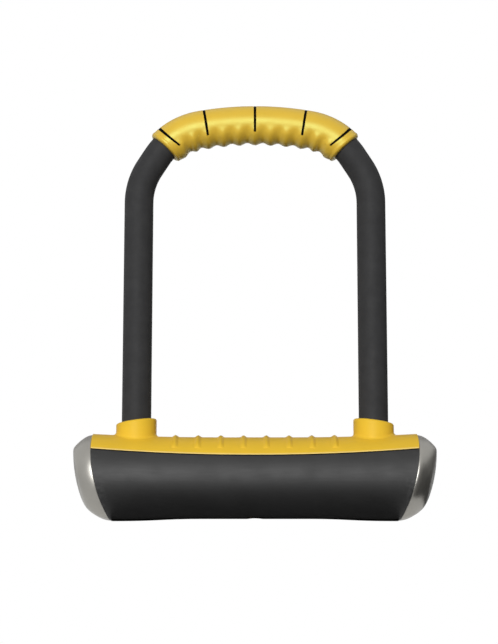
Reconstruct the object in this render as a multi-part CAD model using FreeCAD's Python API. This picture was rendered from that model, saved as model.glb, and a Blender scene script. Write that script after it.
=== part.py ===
"""U lock: a coated steel shackle whose two straight legs drop into a tubular crossbar.

Inside the crossbar a disc cylinder turns a small gear. The gear drives two forked bolts apart, and
each fork straddles a notched leg, so the shackle is held at four places.

Frame: X runs along the crossbar, Y from front (-) to back (+), Z up. The origin is the middle of
the surface that the crossbar stands on. The lock is drawn closed, with its bolts drawn back.
Every size is in millimetres and every angle in degrees.
"""
import FreeCAD, Part

import math
import os

from FreeCAD import Vector

# ------------------------------------------------------------------ shackle
STEEL_DIA = 14.0            # hardened bar
SLEEVE_WALL = 1.0           # vinyl coat over the bar
CLEAR_WIDTH = 115.0         # between the bare legs
LEG_TIP_Z = 12.0
LEG_TIP_CHAMFER = 1.2
SLEEVE_OVER_SEAL = 1.6      # the coat ends this far above the rubber seal, and bare steel goes on down
LEG_STRAIGHT_TOP_Z = 175.7
SHOULDER_RADIUS = 37.1      # first bend, then a short straight run, then the corner
SHOULDER_TURN = 32.6
SHOULDER_RUN = 7.8
CORNER_RADIUS = 35.9
CORNER_TURN = 47.2          # what is left of the quarter turn is the shallow arc across the top
NECK_THICKNESS = 8.0        # steel left between the two bolt notches of a leg

# ------------------------------------------------------------------ grip on the top of the shackle
GRIP_START_ANGLE = 42.0     # slope of the bar, from upright, where the grip begins
GRIP_WALL = 2.0             # from the coated bar to the top of the grip
GRIP_DROP = 0.4             # the grip is centred this far under the bar
LIP_RISE = 0.25             # rolled band at each end of the grip
LIP_WIDTH = 3.4
LIP_CROWN = 0.1
RIDGE_PITCH = 9.2           # along the centreline of the bar
RIDGE_PAIRS = 5             # finger ridges each side of the middle one
RIDGE_RISE = 1.3
RIDGE_HALF_WIDTH = 4.1
RIDGE_CROWN = 1.6
RIDGE_DROP = 2.2            # how far the ridge barrels sit below the bar's centreline
INLAY_WIDTH = 1.2
INLAY_DEPTH = 1.2
INLAY_SPREAD = 10.0         # the ring that cuts the channels reaches this far outside the grip
INLAY_REACH = 36.0          # how far the inlays run below the level of the bar's centre
INLAY_OFFSETS = (0.0, 27.7, 48.4)   # along the centreline, each side of the middle

# ------------------------------------------------------------------ crossbar, outer form
BAR_AXIS_Z = 21.7
BODY_RADIUS = 22.75         # over the straight middle
BODY_END_RADIUS = 24.6      # at the end of the flare
FLARE_START_X = 20.0
FLARE_END_PAST_JOINT = 0.4  # the flare ends just outside the joint of shell and cap
BELLY_Z = 1.15              # underside of the middle
BELLY_HALF = 30.0
FOOT_LENGTH = 6.0           # the underside touches the ground for this length at each end
HEEL_PAST_LEG = 13.5        # from here it rolls up to the end cap
HEEL_RADIUS = 20.0
HEEL_TURN = 60.0            # the heel's arc is drawn this far round
CHINE_FILLET = 8.0          # along both edges of the flat underside
CHINE_TOP_Z = 12.0          # no edge of the underside lies above this
SCOOP_WIDTH = 9.0           # shallow thumb scoop across the keyhole
SCOOP_DEPTH = 0.45
SEAM_MIDDLE_Z = 33.7        # edge between the lower shell and the top cover
SEAM_RISE = 3.5             # the edge is this much higher at the end caps
SEAM_GAP_HEIGHT = 0.45      # narrow step in the shell under the cover's edge
SEAM_GAP_DEPTH = 0.45
CAP_DEPTH = 10.7            # from the joint to the middle of the cap's face
CAP_FACE_RADIUS = 71.0
CAP_FACE_Z = 37.0
CAP_EDGE_FILLET = 8.0
JOINT_PAST_TUBE = 9.1       # from the tube's end to the curved joint of shell and cap
CAP_JOINT_RADIUS = 100.0
CAP_JOINT_REACH = 60.0      # the joint's arc is drawn this far up and down
CAP_JOINT_Z = 43.0
SPIGOT_RADIUS = 15.9
SPIGOT_BORE_RADIUS = 13.4
CAP_CAVITY_PAST_JOINT = 1.6

# ------------------------------------------------------------------ top cover
COVER_PROUD = 0.35          # the cover stands this far outside the lower shell
COVER_EDGE_ROUND = 0.5
COLLAR_WALL = 2.75          # round the coated leg
COLLAR_RISE = 8.8           # above the middle of the cover, at the middle of the leg
COLLAR_SLOPE = 8.0          # the rim rises towards the middle of the lock
COLLAR_RIM_ROUND = 1.1
COLLAR_FOOT_ROUND = 1.6
RIB_COUNT = 8
RIB_PITCH = 12.3
RIB_WIDTH = 2.7
RIB_RISE = 0.9
RIB_FADE_DROP = 2.36        # how far the rib circle sits above the bar axis

# ------------------------------------------------------------------ crossbar, inside
TUBE_RADIUS = 19.0
TUBE_WALL = 4.0
TUBE_PAST_LEG = 14.0        # from the middle of a leg to the tube's end
END_PLUG_LENGTH = 5.0
PIN_DIA = 3.0
PIN_LENGTH = 12.5
SEAL_LAP = 1.6              # the seal is this much larger than the coated leg
SEAL_HEIGHT = 3.6
BUMPER_HEIGHT = 2.9

# ------------------------------------------------------------------ gear and bolts
GEAR_MODULE = 1.0
GEAR_TEETH = 12
PRESSURE_ANGLE = 25.0
ADDENDUM = 0.9
DEDENDUM = 1.2
BACKLASH = 0.14
KEY_TURN = 90.0
BOLT_RISE = 5.0             # middle of the bolts above the bar axis
BOLT_HEIGHT = 7.0
TINE_THICKNESS = 3.2
RACK_BACK = 2.8             # thickness of the rack behind its tooth roots
RACK_TEETH = 7
RACK_LEAD = 1.5             # pitches from the gear's middle to the first tooth
SHOULDER_BLOCK = 8.0        # length of the wide block that joins rack and bar
SHOULDER_BLOCK_X = 24.0     # its inner end
HUB_RADIUS = 4.4
STUB_RADIUS = 2.4
STUB_LENGTH = 3.6

# ------------------------------------------------------------------ disc cylinder, upright, keyhole down
FACE_Z = 3.6                # face of the cylinder, behind the dust shutter
HOUSING_RADIUS = 10.0
HOUSING_TOP_Z = 22.0
HOUSING_GROOVE_Z = 13.0
HOUSING_GROOVE_WIDTH = 2.0
HOUSING_GROOVE_DEPTH = 0.7
PLUG_RADIUS = 7.5
PLUG_NOSE_RADIUS = 6.8
PLUG_NOSE_LENGTH = 1.7
PLUG_FLOOR = 2.2
PLUG_TOP_Z = 20.4
CAVITY_RADIUS = 6.05
KEYWAY_WIDTH = 2.6
KEYWAY_LENGTH = 8.2
DRILL_PLATE = 1.2
DISC_COUNT = 8
DISC_RADIUS = 5.9
DISC_THICKNESS = 1.2
SPACER_THICKNESS = 0.35
SPACER_HOLE_RADIUS = 4.4
STACK_GAP = 0.05
SIDE_BAR_WIDTH = 1.9
SIDE_BAR_INNER = 5.0
SIDE_BAR_OUTER = 7.35
SIDE_BAR_TRAVEL = 1.0
DISC_TURN = 14.0            # turn of the discs that pushes the side bar out by its travel
GATE_EASE = 2.0             # angle between the side bar and the steep flank of a gate
RING_THICKNESS = 0.8
RING_INNER_RADIUS = 6.6
RING_OUTER_RADIUS = 8.4
RING_GAP_WIDTH = 6.0
DRIVE_DISC_THICKNESS = 1.5

# ------------------------------------------------------------------ dust shutter
BEZEL_LENGTH = 44.0
BEZEL_WIDTH = 15.0
BEZEL_TOP_Z = 3.5
BEZEL_SKIN = 1.15
SHUTTER_LENGTH = 14.0
SHUTTER_WIDTH = 11.2
SHUTTER_THICKNESS = 1.0
SHUTTER_TRAVEL = 12.0
SHUTTER_OFFSET_X = -0.2
NUB_LENGTH = 2.8
NUB_WIDTH = 7.0
NUB_HEIGHT = 0.7
NUB_X = -3.2
KEY_WINDOW_HALF = 5.0
KEY_WINDOW_WIDTH = 9.6

# ------------------------------------------------------------------ clearances
RUNNING = 0.1               # between turning or sliding pieces
SEAT = 0.1                  # around pieces that are pushed in and stay
LEG_CLEARANCE = 0.3         # around the bare legs
SLEEVE_CLEARANCE = 0.25     # around the coated legs
BOLT_CLEARANCE = 0.15       # around the bolts in their channel
FORK_CLEARANCE = 0.6        # between a drawn-back fork and the leg
NOTCH_CLEARANCE = 0.3       # above and below a fork in its notch
REST_GAP = 0.3              # between a leg and the rubber under it

# ------------------------------------------------------------------ derived sizes
STEEL_RADIUS = STEEL_DIA / 2
SLEEVE_RADIUS = STEEL_RADIUS + SLEEVE_WALL
LEG_X = (CLEAR_WIDTH + STEEL_DIA) / 2
GRIP_RADIUS = SLEEVE_RADIUS + GRIP_WALL
TOP_START_ANGLE = SHOULDER_TURN + CORNER_TURN
TUBE_BORE = TUBE_RADIUS - TUBE_WALL
TUBE_HALF = LEG_X + TUBE_PAST_LEG
CAP_JOINT_X = TUBE_HALF + JOINT_PAST_TUBE
CAP_FACE_X = CAP_JOINT_X + CAP_DEPTH
FLARE_END_X = CAP_JOINT_X + FLARE_END_PAST_JOINT
HEEL_X = LEG_X + HEEL_PAST_LEG
FOOT_X = HEEL_X - FOOT_LENGTH
COLLAR_RADIUS = SLEEVE_RADIUS + SLEEVE_CLEARANCE + COLLAR_WALL
COLLAR_TOP_Z = BAR_AXIS_Z + BODY_RADIUS + COVER_PROUD + COLLAR_RISE
SEAL_RADIUS = SLEEVE_RADIUS + SEAL_LAP
SEAL_BOTTOM_Z = BAR_AXIS_Z + TUBE_RADIUS + SEAT
SEAL_TOP_Z = SEAL_BOTTOM_Z + SEAL_HEIGHT
SLEEVE_END_Z = SEAL_TOP_Z + SLEEVE_OVER_SEAL
BOLT_BOTTOM_Z = BAR_AXIS_Z + BOLT_RISE - BOLT_HEIGHT / 2
BOLT_TOP_Z = BOLT_BOTTOM_Z + BOLT_HEIGHT
PITCH_RADIUS = GEAR_MODULE * GEAR_TEETH / 2
GEAR_PITCH = math.pi * GEAR_MODULE
BOLT_TRAVEL = PITCH_RADIUS * math.radians(KEY_TURN)
TINE_INNER_Y = NECK_THICKNESS / 2 + 2 * RUNNING
TINE_OUTER_Y = TINE_INNER_Y + TINE_THICKNESS
RACK_ROOT_Y = PITCH_RADIUS + DEDENDUM
RACK_BACK_Y = RACK_ROOT_Y + RACK_BACK
FORK_TIP_X = LEG_X - math.sqrt(STEEL_RADIUS ** 2 - TINE_INNER_Y ** 2) - FORK_CLEARANCE
FORK_DEPTH = FORK_TIP_X + BOLT_TRAVEL - LEG_X + STEEL_RADIUS + FORK_CLEARANCE
CAVITY_FLOOR_Z = FACE_Z + PLUG_FLOOR
STACK_BOTTOM_Z = CAVITY_FLOOR_Z + DRILL_PLATE
DISC_PITCH = DISC_THICKNESS + SPACER_THICKNESS + 2 * STACK_GAP
STACK_TOP_Z = STACK_BOTTOM_Z + DISC_COUNT * DISC_PITCH - SPACER_THICKNESS
SHUTTER_Z = BELLY_Z + BEZEL_SKIN + RUNNING
COVER_BORE = TUBE_RADIUS + SEAT
FAR = 140.0                 # longer than anything that is cut

X_AXIS = Vector(1, 0, 0)
Y_AXIS = Vector(0, 1, 0)
Z_AXIS = Vector(0, 0, 1)


# ------------------------------------------------------------------ small helpers
def box(x0, x1, y0, y1, z0, z1):
    return Part.makeBox(x1 - x0, y1 - y0, z1 - z0, Vector(x0, y0, z0))


def post(radius, z0, z1, x=0.0, y=0.0):
    """Upright round bar."""
    return Part.makeCylinder(radius, z1 - z0, Vector(x, y, z0), Z_AXIS)


def bar(radius, x0, x1, z=BAR_AXIS_Z):
    """Round bar that lies along X."""
    return Part.makeCylinder(radius, x1 - x0, Vector(x0, 0, z), X_AXIS)


def line(a, b):
    return Part.LineSegment(a, b).toShape()


def arc(a, middle, b):
    return Part.Arc(a, middle, b).toShape()


def polygon(points):
    """Flat face with straight edges."""
    return Part.Face(Part.makePolygon(list(points) + [points[0]]))


def slab(edges):
    """Closed outline in the XZ plane, drawn out to both sides of it."""
    face = Part.Face(Part.Wire(edges))
    face.translate(Vector(0, -FAR / 2, 0))
    return face.extrude(Vector(0, FAR, 0))


def stadium(length, width, z0, z1):
    """Upright prism with round ends, long in X."""
    half = (length - width) / 2
    middle = box(-half, half, -width / 2, width / 2, z0, z1)
    ends = [post(width / 2, z0, z1, side * half) for side in (-1, 1)]
    return middle.fuse(ends).removeSplitter()


def mirrored(shape):
    """The same piece at the other end of the lock."""
    return shape.mirror(Vector(0, 0, 0), X_AXIS)


def half_turned(shape):
    """The same piece turned half round the key axis."""
    copy = shape.copy()
    copy.rotate(Vector(0, 0, 0), Z_AXIS, 180)
    return copy


def middle_of(edge):
    return edge.valueAt((edge.FirstParameter + edge.LastParameter) / 2)


def is_curved(edge):
    return edge.Curve.TypeId != "Part::GeomLine"


def sagitta(radius, half_chord):
    return radius - math.sqrt(radius ** 2 - half_chord ** 2)


# ------------------------------------------------------------------ shackle centreline
def on_arc(centre, radius, slope):
    """Point of a left-hand bend where the bar leans by this slope from upright."""
    angle = math.radians(slope)
    return Vector(centre.x - radius * math.cos(angle), 0, centre.z + radius * math.sin(angle))


def bend_centre(start, radius, slope):
    angle = math.radians(slope)
    return Vector(start.x + radius * math.cos(angle), 0, start.z - radius * math.sin(angle))


def flipped(point):
    return Vector(-point.x, point.y, point.z)


SHOULDER_START = Vector(-LEG_X, 0, LEG_STRAIGHT_TOP_Z)
SHOULDER_CENTRE = bend_centre(SHOULDER_START, SHOULDER_RADIUS, 0)
SHOULDER_END = on_arc(SHOULDER_CENTRE, SHOULDER_RADIUS, SHOULDER_TURN)
LEAN = math.radians(SHOULDER_TURN)
CORNER_START = SHOULDER_END + Vector(math.sin(LEAN), 0, math.cos(LEAN)) * SHOULDER_RUN
CORNER_CENTRE = bend_centre(CORNER_START, CORNER_RADIUS, SHOULDER_TURN)
CORNER_END = on_arc(CORNER_CENTRE, CORNER_RADIUS, TOP_START_ANGLE)
TOP_RADIUS = -CORNER_END.x / math.cos(math.radians(TOP_START_ANGLE))
TOP_CENTRE = bend_centre(CORNER_END, TOP_RADIUS, TOP_START_ANGLE)
TOP_POINT = on_arc(TOP_CENTRE, TOP_RADIUS, 90)
HALF_TOP_LENGTH = TOP_RADIUS * math.radians(90 - TOP_START_ANGLE)


def bend_edge(centre, radius, slope0, slope1):
    points = [on_arc(centre, radius, s) for s in (slope0, (slope0 + slope1) / 2, slope1)]
    return arc(*points)


def both_sides(left_edges, top_edge):
    """A path up the left side, across the top and down the right side."""
    right = [edge.mirror(Vector(0, 0, 0), X_AXIS) for edge in reversed(left_edges)]
    return Part.Wire(Part.__sortEdges__(left_edges + [top_edge] + right))


def shackle_path(leg_end_z):
    left = [
        line(Vector(-LEG_X, 0, leg_end_z), SHOULDER_START),
        bend_edge(SHOULDER_CENTRE, SHOULDER_RADIUS, 0, SHOULDER_TURN),
        line(SHOULDER_END, CORNER_START),
        bend_edge(CORNER_CENTRE, CORNER_RADIUS, SHOULDER_TURN, TOP_START_ANGLE),
    ]
    return both_sides(left, arc(CORNER_END, TOP_POINT, flipped(CORNER_END)))


def along_shackle(leg_end_z, radius):
    """Round bar that follows the whole shackle."""
    start = Vector(-LEG_X, 0, leg_end_z)
    section = Part.Wire(Part.makeCircle(radius, start, Z_AXIS))
    return shackle_path(leg_end_z).makePipeShell([section], True, False)


def station(distance):
    """Centreline point, slope and mirror side at a distance from the middle of the top."""
    side = 1 if distance < 0 else -1
    run = abs(distance)
    if run <= HALF_TOP_LENGTH:
        slope = 90 - math.degrees(run / TOP_RADIUS)
        point = on_arc(TOP_CENTRE, TOP_RADIUS, slope)
    else:
        slope = TOP_START_ANGLE - math.degrees((run - HALF_TOP_LENGTH) / CORNER_RADIUS)
        point = on_arc(CORNER_CENTRE, CORNER_RADIUS, slope)
    return point, slope, side


def placed_at(shape, distance):
    """Move a shape drawn at the origin, its own X along the bar, to a station of the grip."""
    point, slope, side = station(distance)
    copy = shape.copy()
    copy.rotate(Vector(0, 0, 0), Y_AXIS, slope - 90)
    copy.translate(point)
    return mirrored(copy) if side < 0 else copy


# ------------------------------------------------------------------ shackle pieces
def shackle_bar():
    steel = along_shackle(LEG_TIP_Z, STEEL_RADIUS)
    tips = [e for e in steel.Edges if middle_of(e).z < LEG_TIP_Z + 0.01]
    steel = steel.makeChamfer(LEG_TIP_CHAMFER, tips)
    z0 = BOLT_BOTTOM_Z - NOTCH_CLEARANCE
    z1 = BOLT_TOP_Z + NOTCH_CLEARANCE
    for x in (-LEG_X, LEG_X):
        for y0, y1 in ((-FAR, -NECK_THICKNESS / 2), (NECK_THICKNESS / 2, FAR)):
            steel = steel.cut(box(x - STEEL_DIA, x + STEEL_DIA, y0, y1, z0, z1))
    return steel


def shackle_sleeve():
    return along_shackle(SLEEVE_END_Z, SLEEVE_RADIUS).cut(along_shackle(SLEEVE_END_Z, STEEL_RADIUS))


def grip_end_distance():
    return HALF_TOP_LENGTH + CORNER_RADIUS * math.radians(TOP_START_ANGLE - GRIP_START_ANGLE)


def along_grip(radius, drop):
    """Round tube from one end of the grip to the other, its middle this far under the bar's."""
    def turned(centre, bend_radius, slope0, slope1):
        start = on_arc(centre, bend_radius - drop, slope0)
        slope = math.radians(slope0)
        tangent = Vector(math.sin(slope), 0, math.cos(slope))
        section = Part.Face(Part.Wire(Part.makeCircle(radius, start, tangent)))
        return section.revolve(centre, Y_AXIS, slope1 - slope0)
    corner = turned(CORNER_CENTRE, CORNER_RADIUS, GRIP_START_ANGLE, TOP_START_ANGLE)
    top = turned(TOP_CENTRE, TOP_RADIUS, TOP_START_ANGLE, 180 - TOP_START_ANGLE)
    return corner.fuse([top, mirrored(corner)]).removeSplitter()


def barrel(radius, half_width, crown):
    """Solid turned about its own X axis, fullest in the middle."""
    edge = radius - crown
    outline = [
        line(Vector(-half_width, 0, 0), Vector(-half_width, 0, edge)),
        arc(Vector(-half_width, 0, edge), Vector(0, 0, radius), Vector(half_width, 0, edge)),
        line(Vector(half_width, 0, edge), Vector(half_width, 0, 0)),
        line(Vector(half_width, 0, 0), Vector(-half_width, 0, 0)),
    ]
    return Part.Face(Part.Wire(outline)).revolve(Vector(0, 0, 0), X_AXIS, 360)


def finger_ridges():
    lowest = GRIP_RADIUS + 2 * GRIP_DROP + RIDGE_RISE
    ridge = barrel(lowest - RIDGE_DROP, RIDGE_HALF_WIDTH, RIDGE_CROWN)
    ridge.translate(Vector(0, 0, -RIDGE_DROP))
    steps = range(-RIDGE_PAIRS, RIDGE_PAIRS + 1)
    return [placed_at(ridge, step * RIDGE_PITCH) for step in steps]


def end_lips():
    """Rolled bands at the two ends of the grip."""
    lip = barrel(GRIP_RADIUS + GRIP_DROP + LIP_RISE, LIP_WIDTH / 2, LIP_CROWN)
    lip.translate(Vector(0, 0, -GRIP_DROP))
    distance = grip_end_distance() - LIP_WIDTH / 2
    return [placed_at(lip, side * distance) for side in (-1, 1)]


def inlay_channels():
    """Thin open rings, over the top of the grip and part of the way down each side."""
    half = INLAY_WIDTH / 2
    outside = GRIP_RADIUS + INLAY_SPREAD
    ring = bar(outside, -half, half, 0).cut(bar(GRIP_RADIUS - INLAY_DEPTH, -half, half, 0))
    reach = math.radians(INLAY_REACH)
    foot = Vector(0, FAR * math.cos(reach), -FAR * math.sin(reach))
    below = polygon([Vector(-half, 0, 0), foot - X_AXIS * half,
                     Vector(-half, -foot.y, foot.z)]).extrude(X_AXIS * INLAY_WIDTH)
    channel = ring.cut(below)
    stations = sorted({side * offset for offset in INLAY_OFFSETS for side in (-1, 1)})
    return [placed_at(channel, distance) for distance in stations]


def shackle_grip_and_inlays():
    grip = along_grip(GRIP_RADIUS + GRIP_DROP, GRIP_DROP)
    grip = grip.fuse(end_lips())
    grip = grip.fuse(finger_ridges())
    grip = grip.cut(along_shackle(SLEEVE_END_Z, SLEEVE_RADIUS))
    channels = inlay_channels()
    inlays = [grip.common(channel).Solids[0] for channel in channels]
    return grip.cut(channels), inlays


# ------------------------------------------------------------------ crossbar, outer form
def body_radius_at(x):
    rise = BODY_END_RADIUS - BODY_RADIUS
    run = FLARE_END_X - FLARE_START_X
    bow = (run ** 2 + rise ** 2) / (2 * abs(rise))
    return BODY_RADIUS + math.copysign(sagitta(bow, max(0.0, abs(x) - FLARE_START_X)), rise)


def turned_body(proud, end_x):
    """Body of revolution about the bar axis: straight in the middle, flared to both ends."""
    def rim(x):
        return Vector(x, 0, BAR_AXIS_Z - body_radius_at(x) - proud)
    between = (FLARE_START_X + end_x) / 2
    left_end = Vector(-end_x, 0, BAR_AXIS_Z)
    right_end = Vector(end_x, 0, BAR_AXIS_Z)
    outline = [
        line(left_end, rim(-end_x)),
        arc(rim(-end_x), rim(-between), rim(-FLARE_START_X)),
        line(rim(-FLARE_START_X), rim(FLARE_START_X)),
        arc(rim(FLARE_START_X), rim(between), rim(end_x)),
        line(rim(end_x), right_end),
        line(right_end, left_end),
    ]
    return Part.Face(Part.Wire(outline)).revolve(left_end, X_AXIS, 360)


def rounded_end():
    """Right half of the body, closed by a domed face with a rolled edge."""
    past_face = CAP_FACE_X + CAP_EDGE_FILLET
    centre = Vector(CAP_FACE_X - CAP_FACE_RADIUS, 0, CAP_FACE_Z)
    half = turned_body(0.0, past_face).common(box(0, FAR, -FAR, FAR, -FAR, FAR))
    half = half.common(Part.makeSphere(CAP_FACE_RADIUS, centre))

    def is_rim(edge):
        spot = middle_of(edge)
        off_axis = math.hypot(spot.y, spot.z - BAR_AXIS_Z)
        on_dome = abs(spot.distanceToPoint(centre) - CAP_FACE_RADIUS) < 0.001
        return on_dome and abs(off_axis - body_radius_at(spot.x)) < 0.01

    return half.makeFillet(CAP_EDGE_FILLET, [e for e in half.Edges if is_rim(e)])


def belly_slope():
    """Where the slope from belly to foot turns over, and the radius of its two arcs."""
    middle_x = (BELLY_HALF + FOOT_X) / 2
    return middle_x, ((middle_x - BELLY_HALF) ** 2 + (BELLY_Z / 2) ** 2) / BELLY_Z


def below_underside():
    """Everything under the standing surface, the raised belly and the rolled heels."""
    middle_x, bow = belly_slope()
    quarter = (middle_x - BELLY_HALF) / 2
    heel = math.radians(HEEL_TURN)

    def half_outline(side):
        belly = Vector(side * BELLY_HALF, 0, BELLY_Z)
        slope_in = Vector(side * (BELLY_HALF + quarter), 0, BELLY_Z - sagitta(bow, quarter))
        halfway = Vector(side * middle_x, 0, BELLY_Z / 2)
        slope_out = Vector(side * (FOOT_X - quarter), 0, sagitta(bow, quarter))
        foot = Vector(side * FOOT_X, 0, 0)
        heel_start = Vector(side * HEEL_X, 0, 0)

        def heel_point(angle):
            return Vector(side * (HEEL_X + HEEL_RADIUS * math.sin(angle)), 0,
                          HEEL_RADIUS * (1 - math.cos(angle)))
        corner = Vector(side * FAR, 0, heel_point(heel).z)
        deep = Vector(side * FAR, 0, -FAR)
        return [arc(belly, slope_in, halfway), arc(halfway, slope_out, foot),
                line(foot, heel_start), arc(heel_start, heel_point(heel / 2), heel_point(heel)),
                line(heel_point(heel), corner), line(corner, deep)]

    across = [line(Vector(-BELLY_HALF, 0, BELLY_Z), Vector(BELLY_HALF, 0, BELLY_Z)),
              line(Vector(-FAR, 0, -FAR), Vector(FAR, 0, -FAR))]
    return slab(Part.__sortEdges__(half_outline(-1) + half_outline(1) + across))


def thumb_scoop():
    half = SCOOP_WIDTH / 2
    radius = (half ** 2 + SCOOP_DEPTH ** 2) / (2 * SCOOP_DEPTH)
    centre = Vector(0, -FAR / 2, BELLY_Z + SCOOP_DEPTH - radius)
    return Part.makeCylinder(radius, FAR, centre, Y_AXIS)


def crossbar_form():
    """The whole outside of the crossbar without the cover's collars and ribs."""
    right = rounded_end()
    form = right.fuse(mirrored(right)).removeSplitter().cut(below_underside())
    chines = [e for e in form.Edges
              if abs(middle_of(e).y) > 1 and middle_of(e).z < CHINE_TOP_Z
              and abs(form_under(middle_of(e).x) - middle_of(e).z) < 0.02]
    return form.makeFillet(CHINE_FILLET, chines)


def form_under(x):
    """Height of the underside below the bar's centre plane."""
    run = abs(x)
    middle_x, bow = belly_slope()
    if run <= BELLY_HALF:
        return BELLY_Z
    if run <= middle_x:
        return BELLY_Z - sagitta(bow, run - BELLY_HALF)
    if run <= FOOT_X:
        return sagitta(bow, FOOT_X - run)
    if run <= HEEL_X:
        return 0.0
    return sagitta(HEEL_RADIUS, min(run - HEEL_X, HEEL_RADIUS))


def between_caps():
    """The part of the crossbar that the shell and cover fill, inside the curved joints."""
    reach = CAP_JOINT_REACH
    inset = sagitta(CAP_JOINT_RADIUS, reach)

    def joint_arc(side):
        return arc(Vector(side * (CAP_JOINT_X - inset), 0, CAP_JOINT_Z - reach),
                   Vector(side * CAP_JOINT_X, 0, CAP_JOINT_Z),
                   Vector(side * (CAP_JOINT_X - inset), 0, CAP_JOINT_Z + reach))

    def across(z):
        return line(Vector(-(CAP_JOINT_X - inset), 0, z), Vector(CAP_JOINT_X - inset, 0, z))
    return slab(Part.__sortEdges__([joint_arc(-1), joint_arc(1),
                                    across(CAP_JOINT_Z - reach), across(CAP_JOINT_Z + reach)]))


def above_seam(drop=0.0):
    """Everything above the gently sagging edge between shell and cover, or this far below it."""
    rise = SEAM_RISE * (FAR / CAP_JOINT_X) ** 2
    middle_z = SEAM_MIDDLE_Z - drop
    left = Vector(-FAR, 0, middle_z + rise)
    right = flipped(left)
    seam = Part.BezierCurve()
    seam.setPoles([left, Vector(0, 0, middle_z - rise), right])
    top_left = Vector(-FAR, 0, FAR)
    top_right = flipped(top_left)
    return slab([seam.toShape(), line(right, top_right),
                 line(top_right, top_left), line(top_left, left)])


def seam_height(x):
    return SEAM_MIDDLE_Z + SEAM_RISE * (x / CAP_JOINT_X) ** 2


def seam_edges(shape, proud):
    """Outer long edges that run along the seam, front and back."""
    found = []
    for edge in shape.Edges:
        spot = middle_of(edge)
        off_axis = math.hypot(spot.y, spot.z - BAR_AXIS_Z)
        on_seam = abs(spot.z - seam_height(spot.x)) < 0.01
        on_skin = abs(off_axis - body_radius_at(spot.x) - proud) < 0.01
        if on_seam and on_skin:
            found.append(edge)
    return found


def inner_bore():
    """Room for the steel tube, and a narrower bore at each end for the cap's spigot."""
    room = bar(COVER_BORE, -TUBE_HALF - SEAT, TUBE_HALF + SEAT)
    return room.fuse(bar(SPIGOT_RADIUS + SEAT, -FAR, FAR))


# ------------------------------------------------------------------ crossbar, outer pieces
def body_shell(form):
    shell = form.common(between_caps()).cut(above_seam())
    shell = shell.cut(above_seam(SEAM_GAP_HEIGHT).cut(turned_body(-SEAM_GAP_DEPTH, FAR)))
    shell = shell.cut(inner_bore()).cut(thumb_scoop())
    window = stadium(BEZEL_LENGTH + 2 * SEAT, BEZEL_WIDTH + 2 * SEAT, 0, BAR_AXIS_Z)
    return shell.cut(window)


def right_end_cap(form):
    cap = form.cut(between_caps()).common(box(0, FAR, -FAR, FAR, -FAR, FAR))
    cavity_end = CAP_JOINT_X + CAP_CAVITY_PAST_JOINT
    cap = cap.fuse(bar(SPIGOT_RADIUS, TUBE_HALF + SEAT, cavity_end))
    return cap.cut(bar(SPIGOT_BORE_RADIUS, 0, cavity_end)).removeSplitter()


def collar(side):
    """Raised ring round a leg, cut off on a slope that rises towards the middle."""
    top = COLLAR_TOP_Z + COLLAR_RADIUS
    ring = post(COLLAR_RADIUS, BAR_AXIS_Z + TUBE_RADIUS, top, side * LEG_X)
    waste = box(-FAR, FAR, -FAR, FAR, 0, FAR)
    waste.rotate(Vector(0, 0, 0), Y_AXIS, side * COLLAR_SLOPE)
    waste.translate(Vector(side * LEG_X, 0, COLLAR_TOP_Z))
    return ring.cut(waste)


def cover_ribs():
    """Low ribs over the top that fade out on the way down the front and back."""
    rib = barrel(BODY_RADIUS + COVER_PROUD + RIB_RISE - RIB_FADE_DROP, RIB_WIDTH / 2, RIB_RISE)
    rib.translate(Vector(0, 0, BAR_AXIS_Z + RIB_FADE_DROP))
    room = above_seam()
    ribs = []
    for index in range(RIB_COUNT):
        copy = rib.copy()
        x = (index - (RIB_COUNT - 1) / 2) * RIB_PITCH
        swell = body_radius_at(x) - BODY_RADIUS
        copy.translate(Vector(x, 0, swell))
        ribs.append(copy.common(room))
    return ribs


def top_cover():
    skin = turned_body(COVER_PROUD, CAP_FACE_X).common(above_seam()).common(between_caps())
    skin = skin.makeFillet(COVER_EDGE_ROUND, seam_edges(skin, COVER_PROUD))
    solid = skin.fuse([collar(side) for side in (-1, 1)])
    half_up = (COLLAR_TOP_Z + BAR_AXIS_Z + BODY_END_RADIUS) / 2
    feet = []
    for edge in solid.Edges:
        spot = middle_of(edge)
        off = min(math.hypot(spot.x - side * LEG_X, spot.y) for side in (-1, 1))
        if abs(off - COLLAR_RADIUS) < 0.01 and spot.z < half_up and is_curved(edge):
            feet.append(edge)
    solid = solid.makeFillet(COLLAR_FOOT_ROUND, feet)
    rims = [e for e in solid.Edges if middle_of(e).z > half_up and is_curved(e)]
    solid = solid.makeFillet(COLLAR_RIM_ROUND, rims)
    solid = solid.fuse(cover_ribs())
    solid = solid.cut(inner_bore())
    for x in (-LEG_X, LEG_X):
        solid = solid.cut(post(SEAL_RADIUS + SEAT, BAR_AXIS_Z, SEAL_TOP_Z + SEAT, x))
        solid = solid.cut(post(SLEEVE_RADIUS + SLEEVE_CLEARANCE, BAR_AXIS_Z, FAR, x))
    return solid


# ------------------------------------------------------------------ crossbar, inner pieces
def crossbar_tube():
    tube = bar(TUBE_RADIUS, -TUBE_HALF, TUBE_HALF).cut(bar(TUBE_BORE, -TUBE_HALF, TUBE_HALF))
    for side in (-1, 1):
        tube = tube.cut(post(STEEL_RADIUS + LEG_CLEARANCE, BAR_AXIS_Z, FAR, side * LEG_X))
        tube = tube.cut(post(PIN_DIA / 2 + RUNNING / 2, BAR_AXIS_Z, FAR, side * end_pin_x()))
    tube = tube.cut(post(HOUSING_RADIUS + SEAT, -FAR, BAR_AXIS_Z))
    flat = stadium(BEZEL_LENGTH + 4 * SEAT, BEZEL_WIDTH + 4 * SEAT, -FAR, BEZEL_TOP_Z + SEAT)
    return tube.cut(flat)


def end_pin_x():
    return TUBE_HALF - END_PLUG_LENGTH / 2


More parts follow.
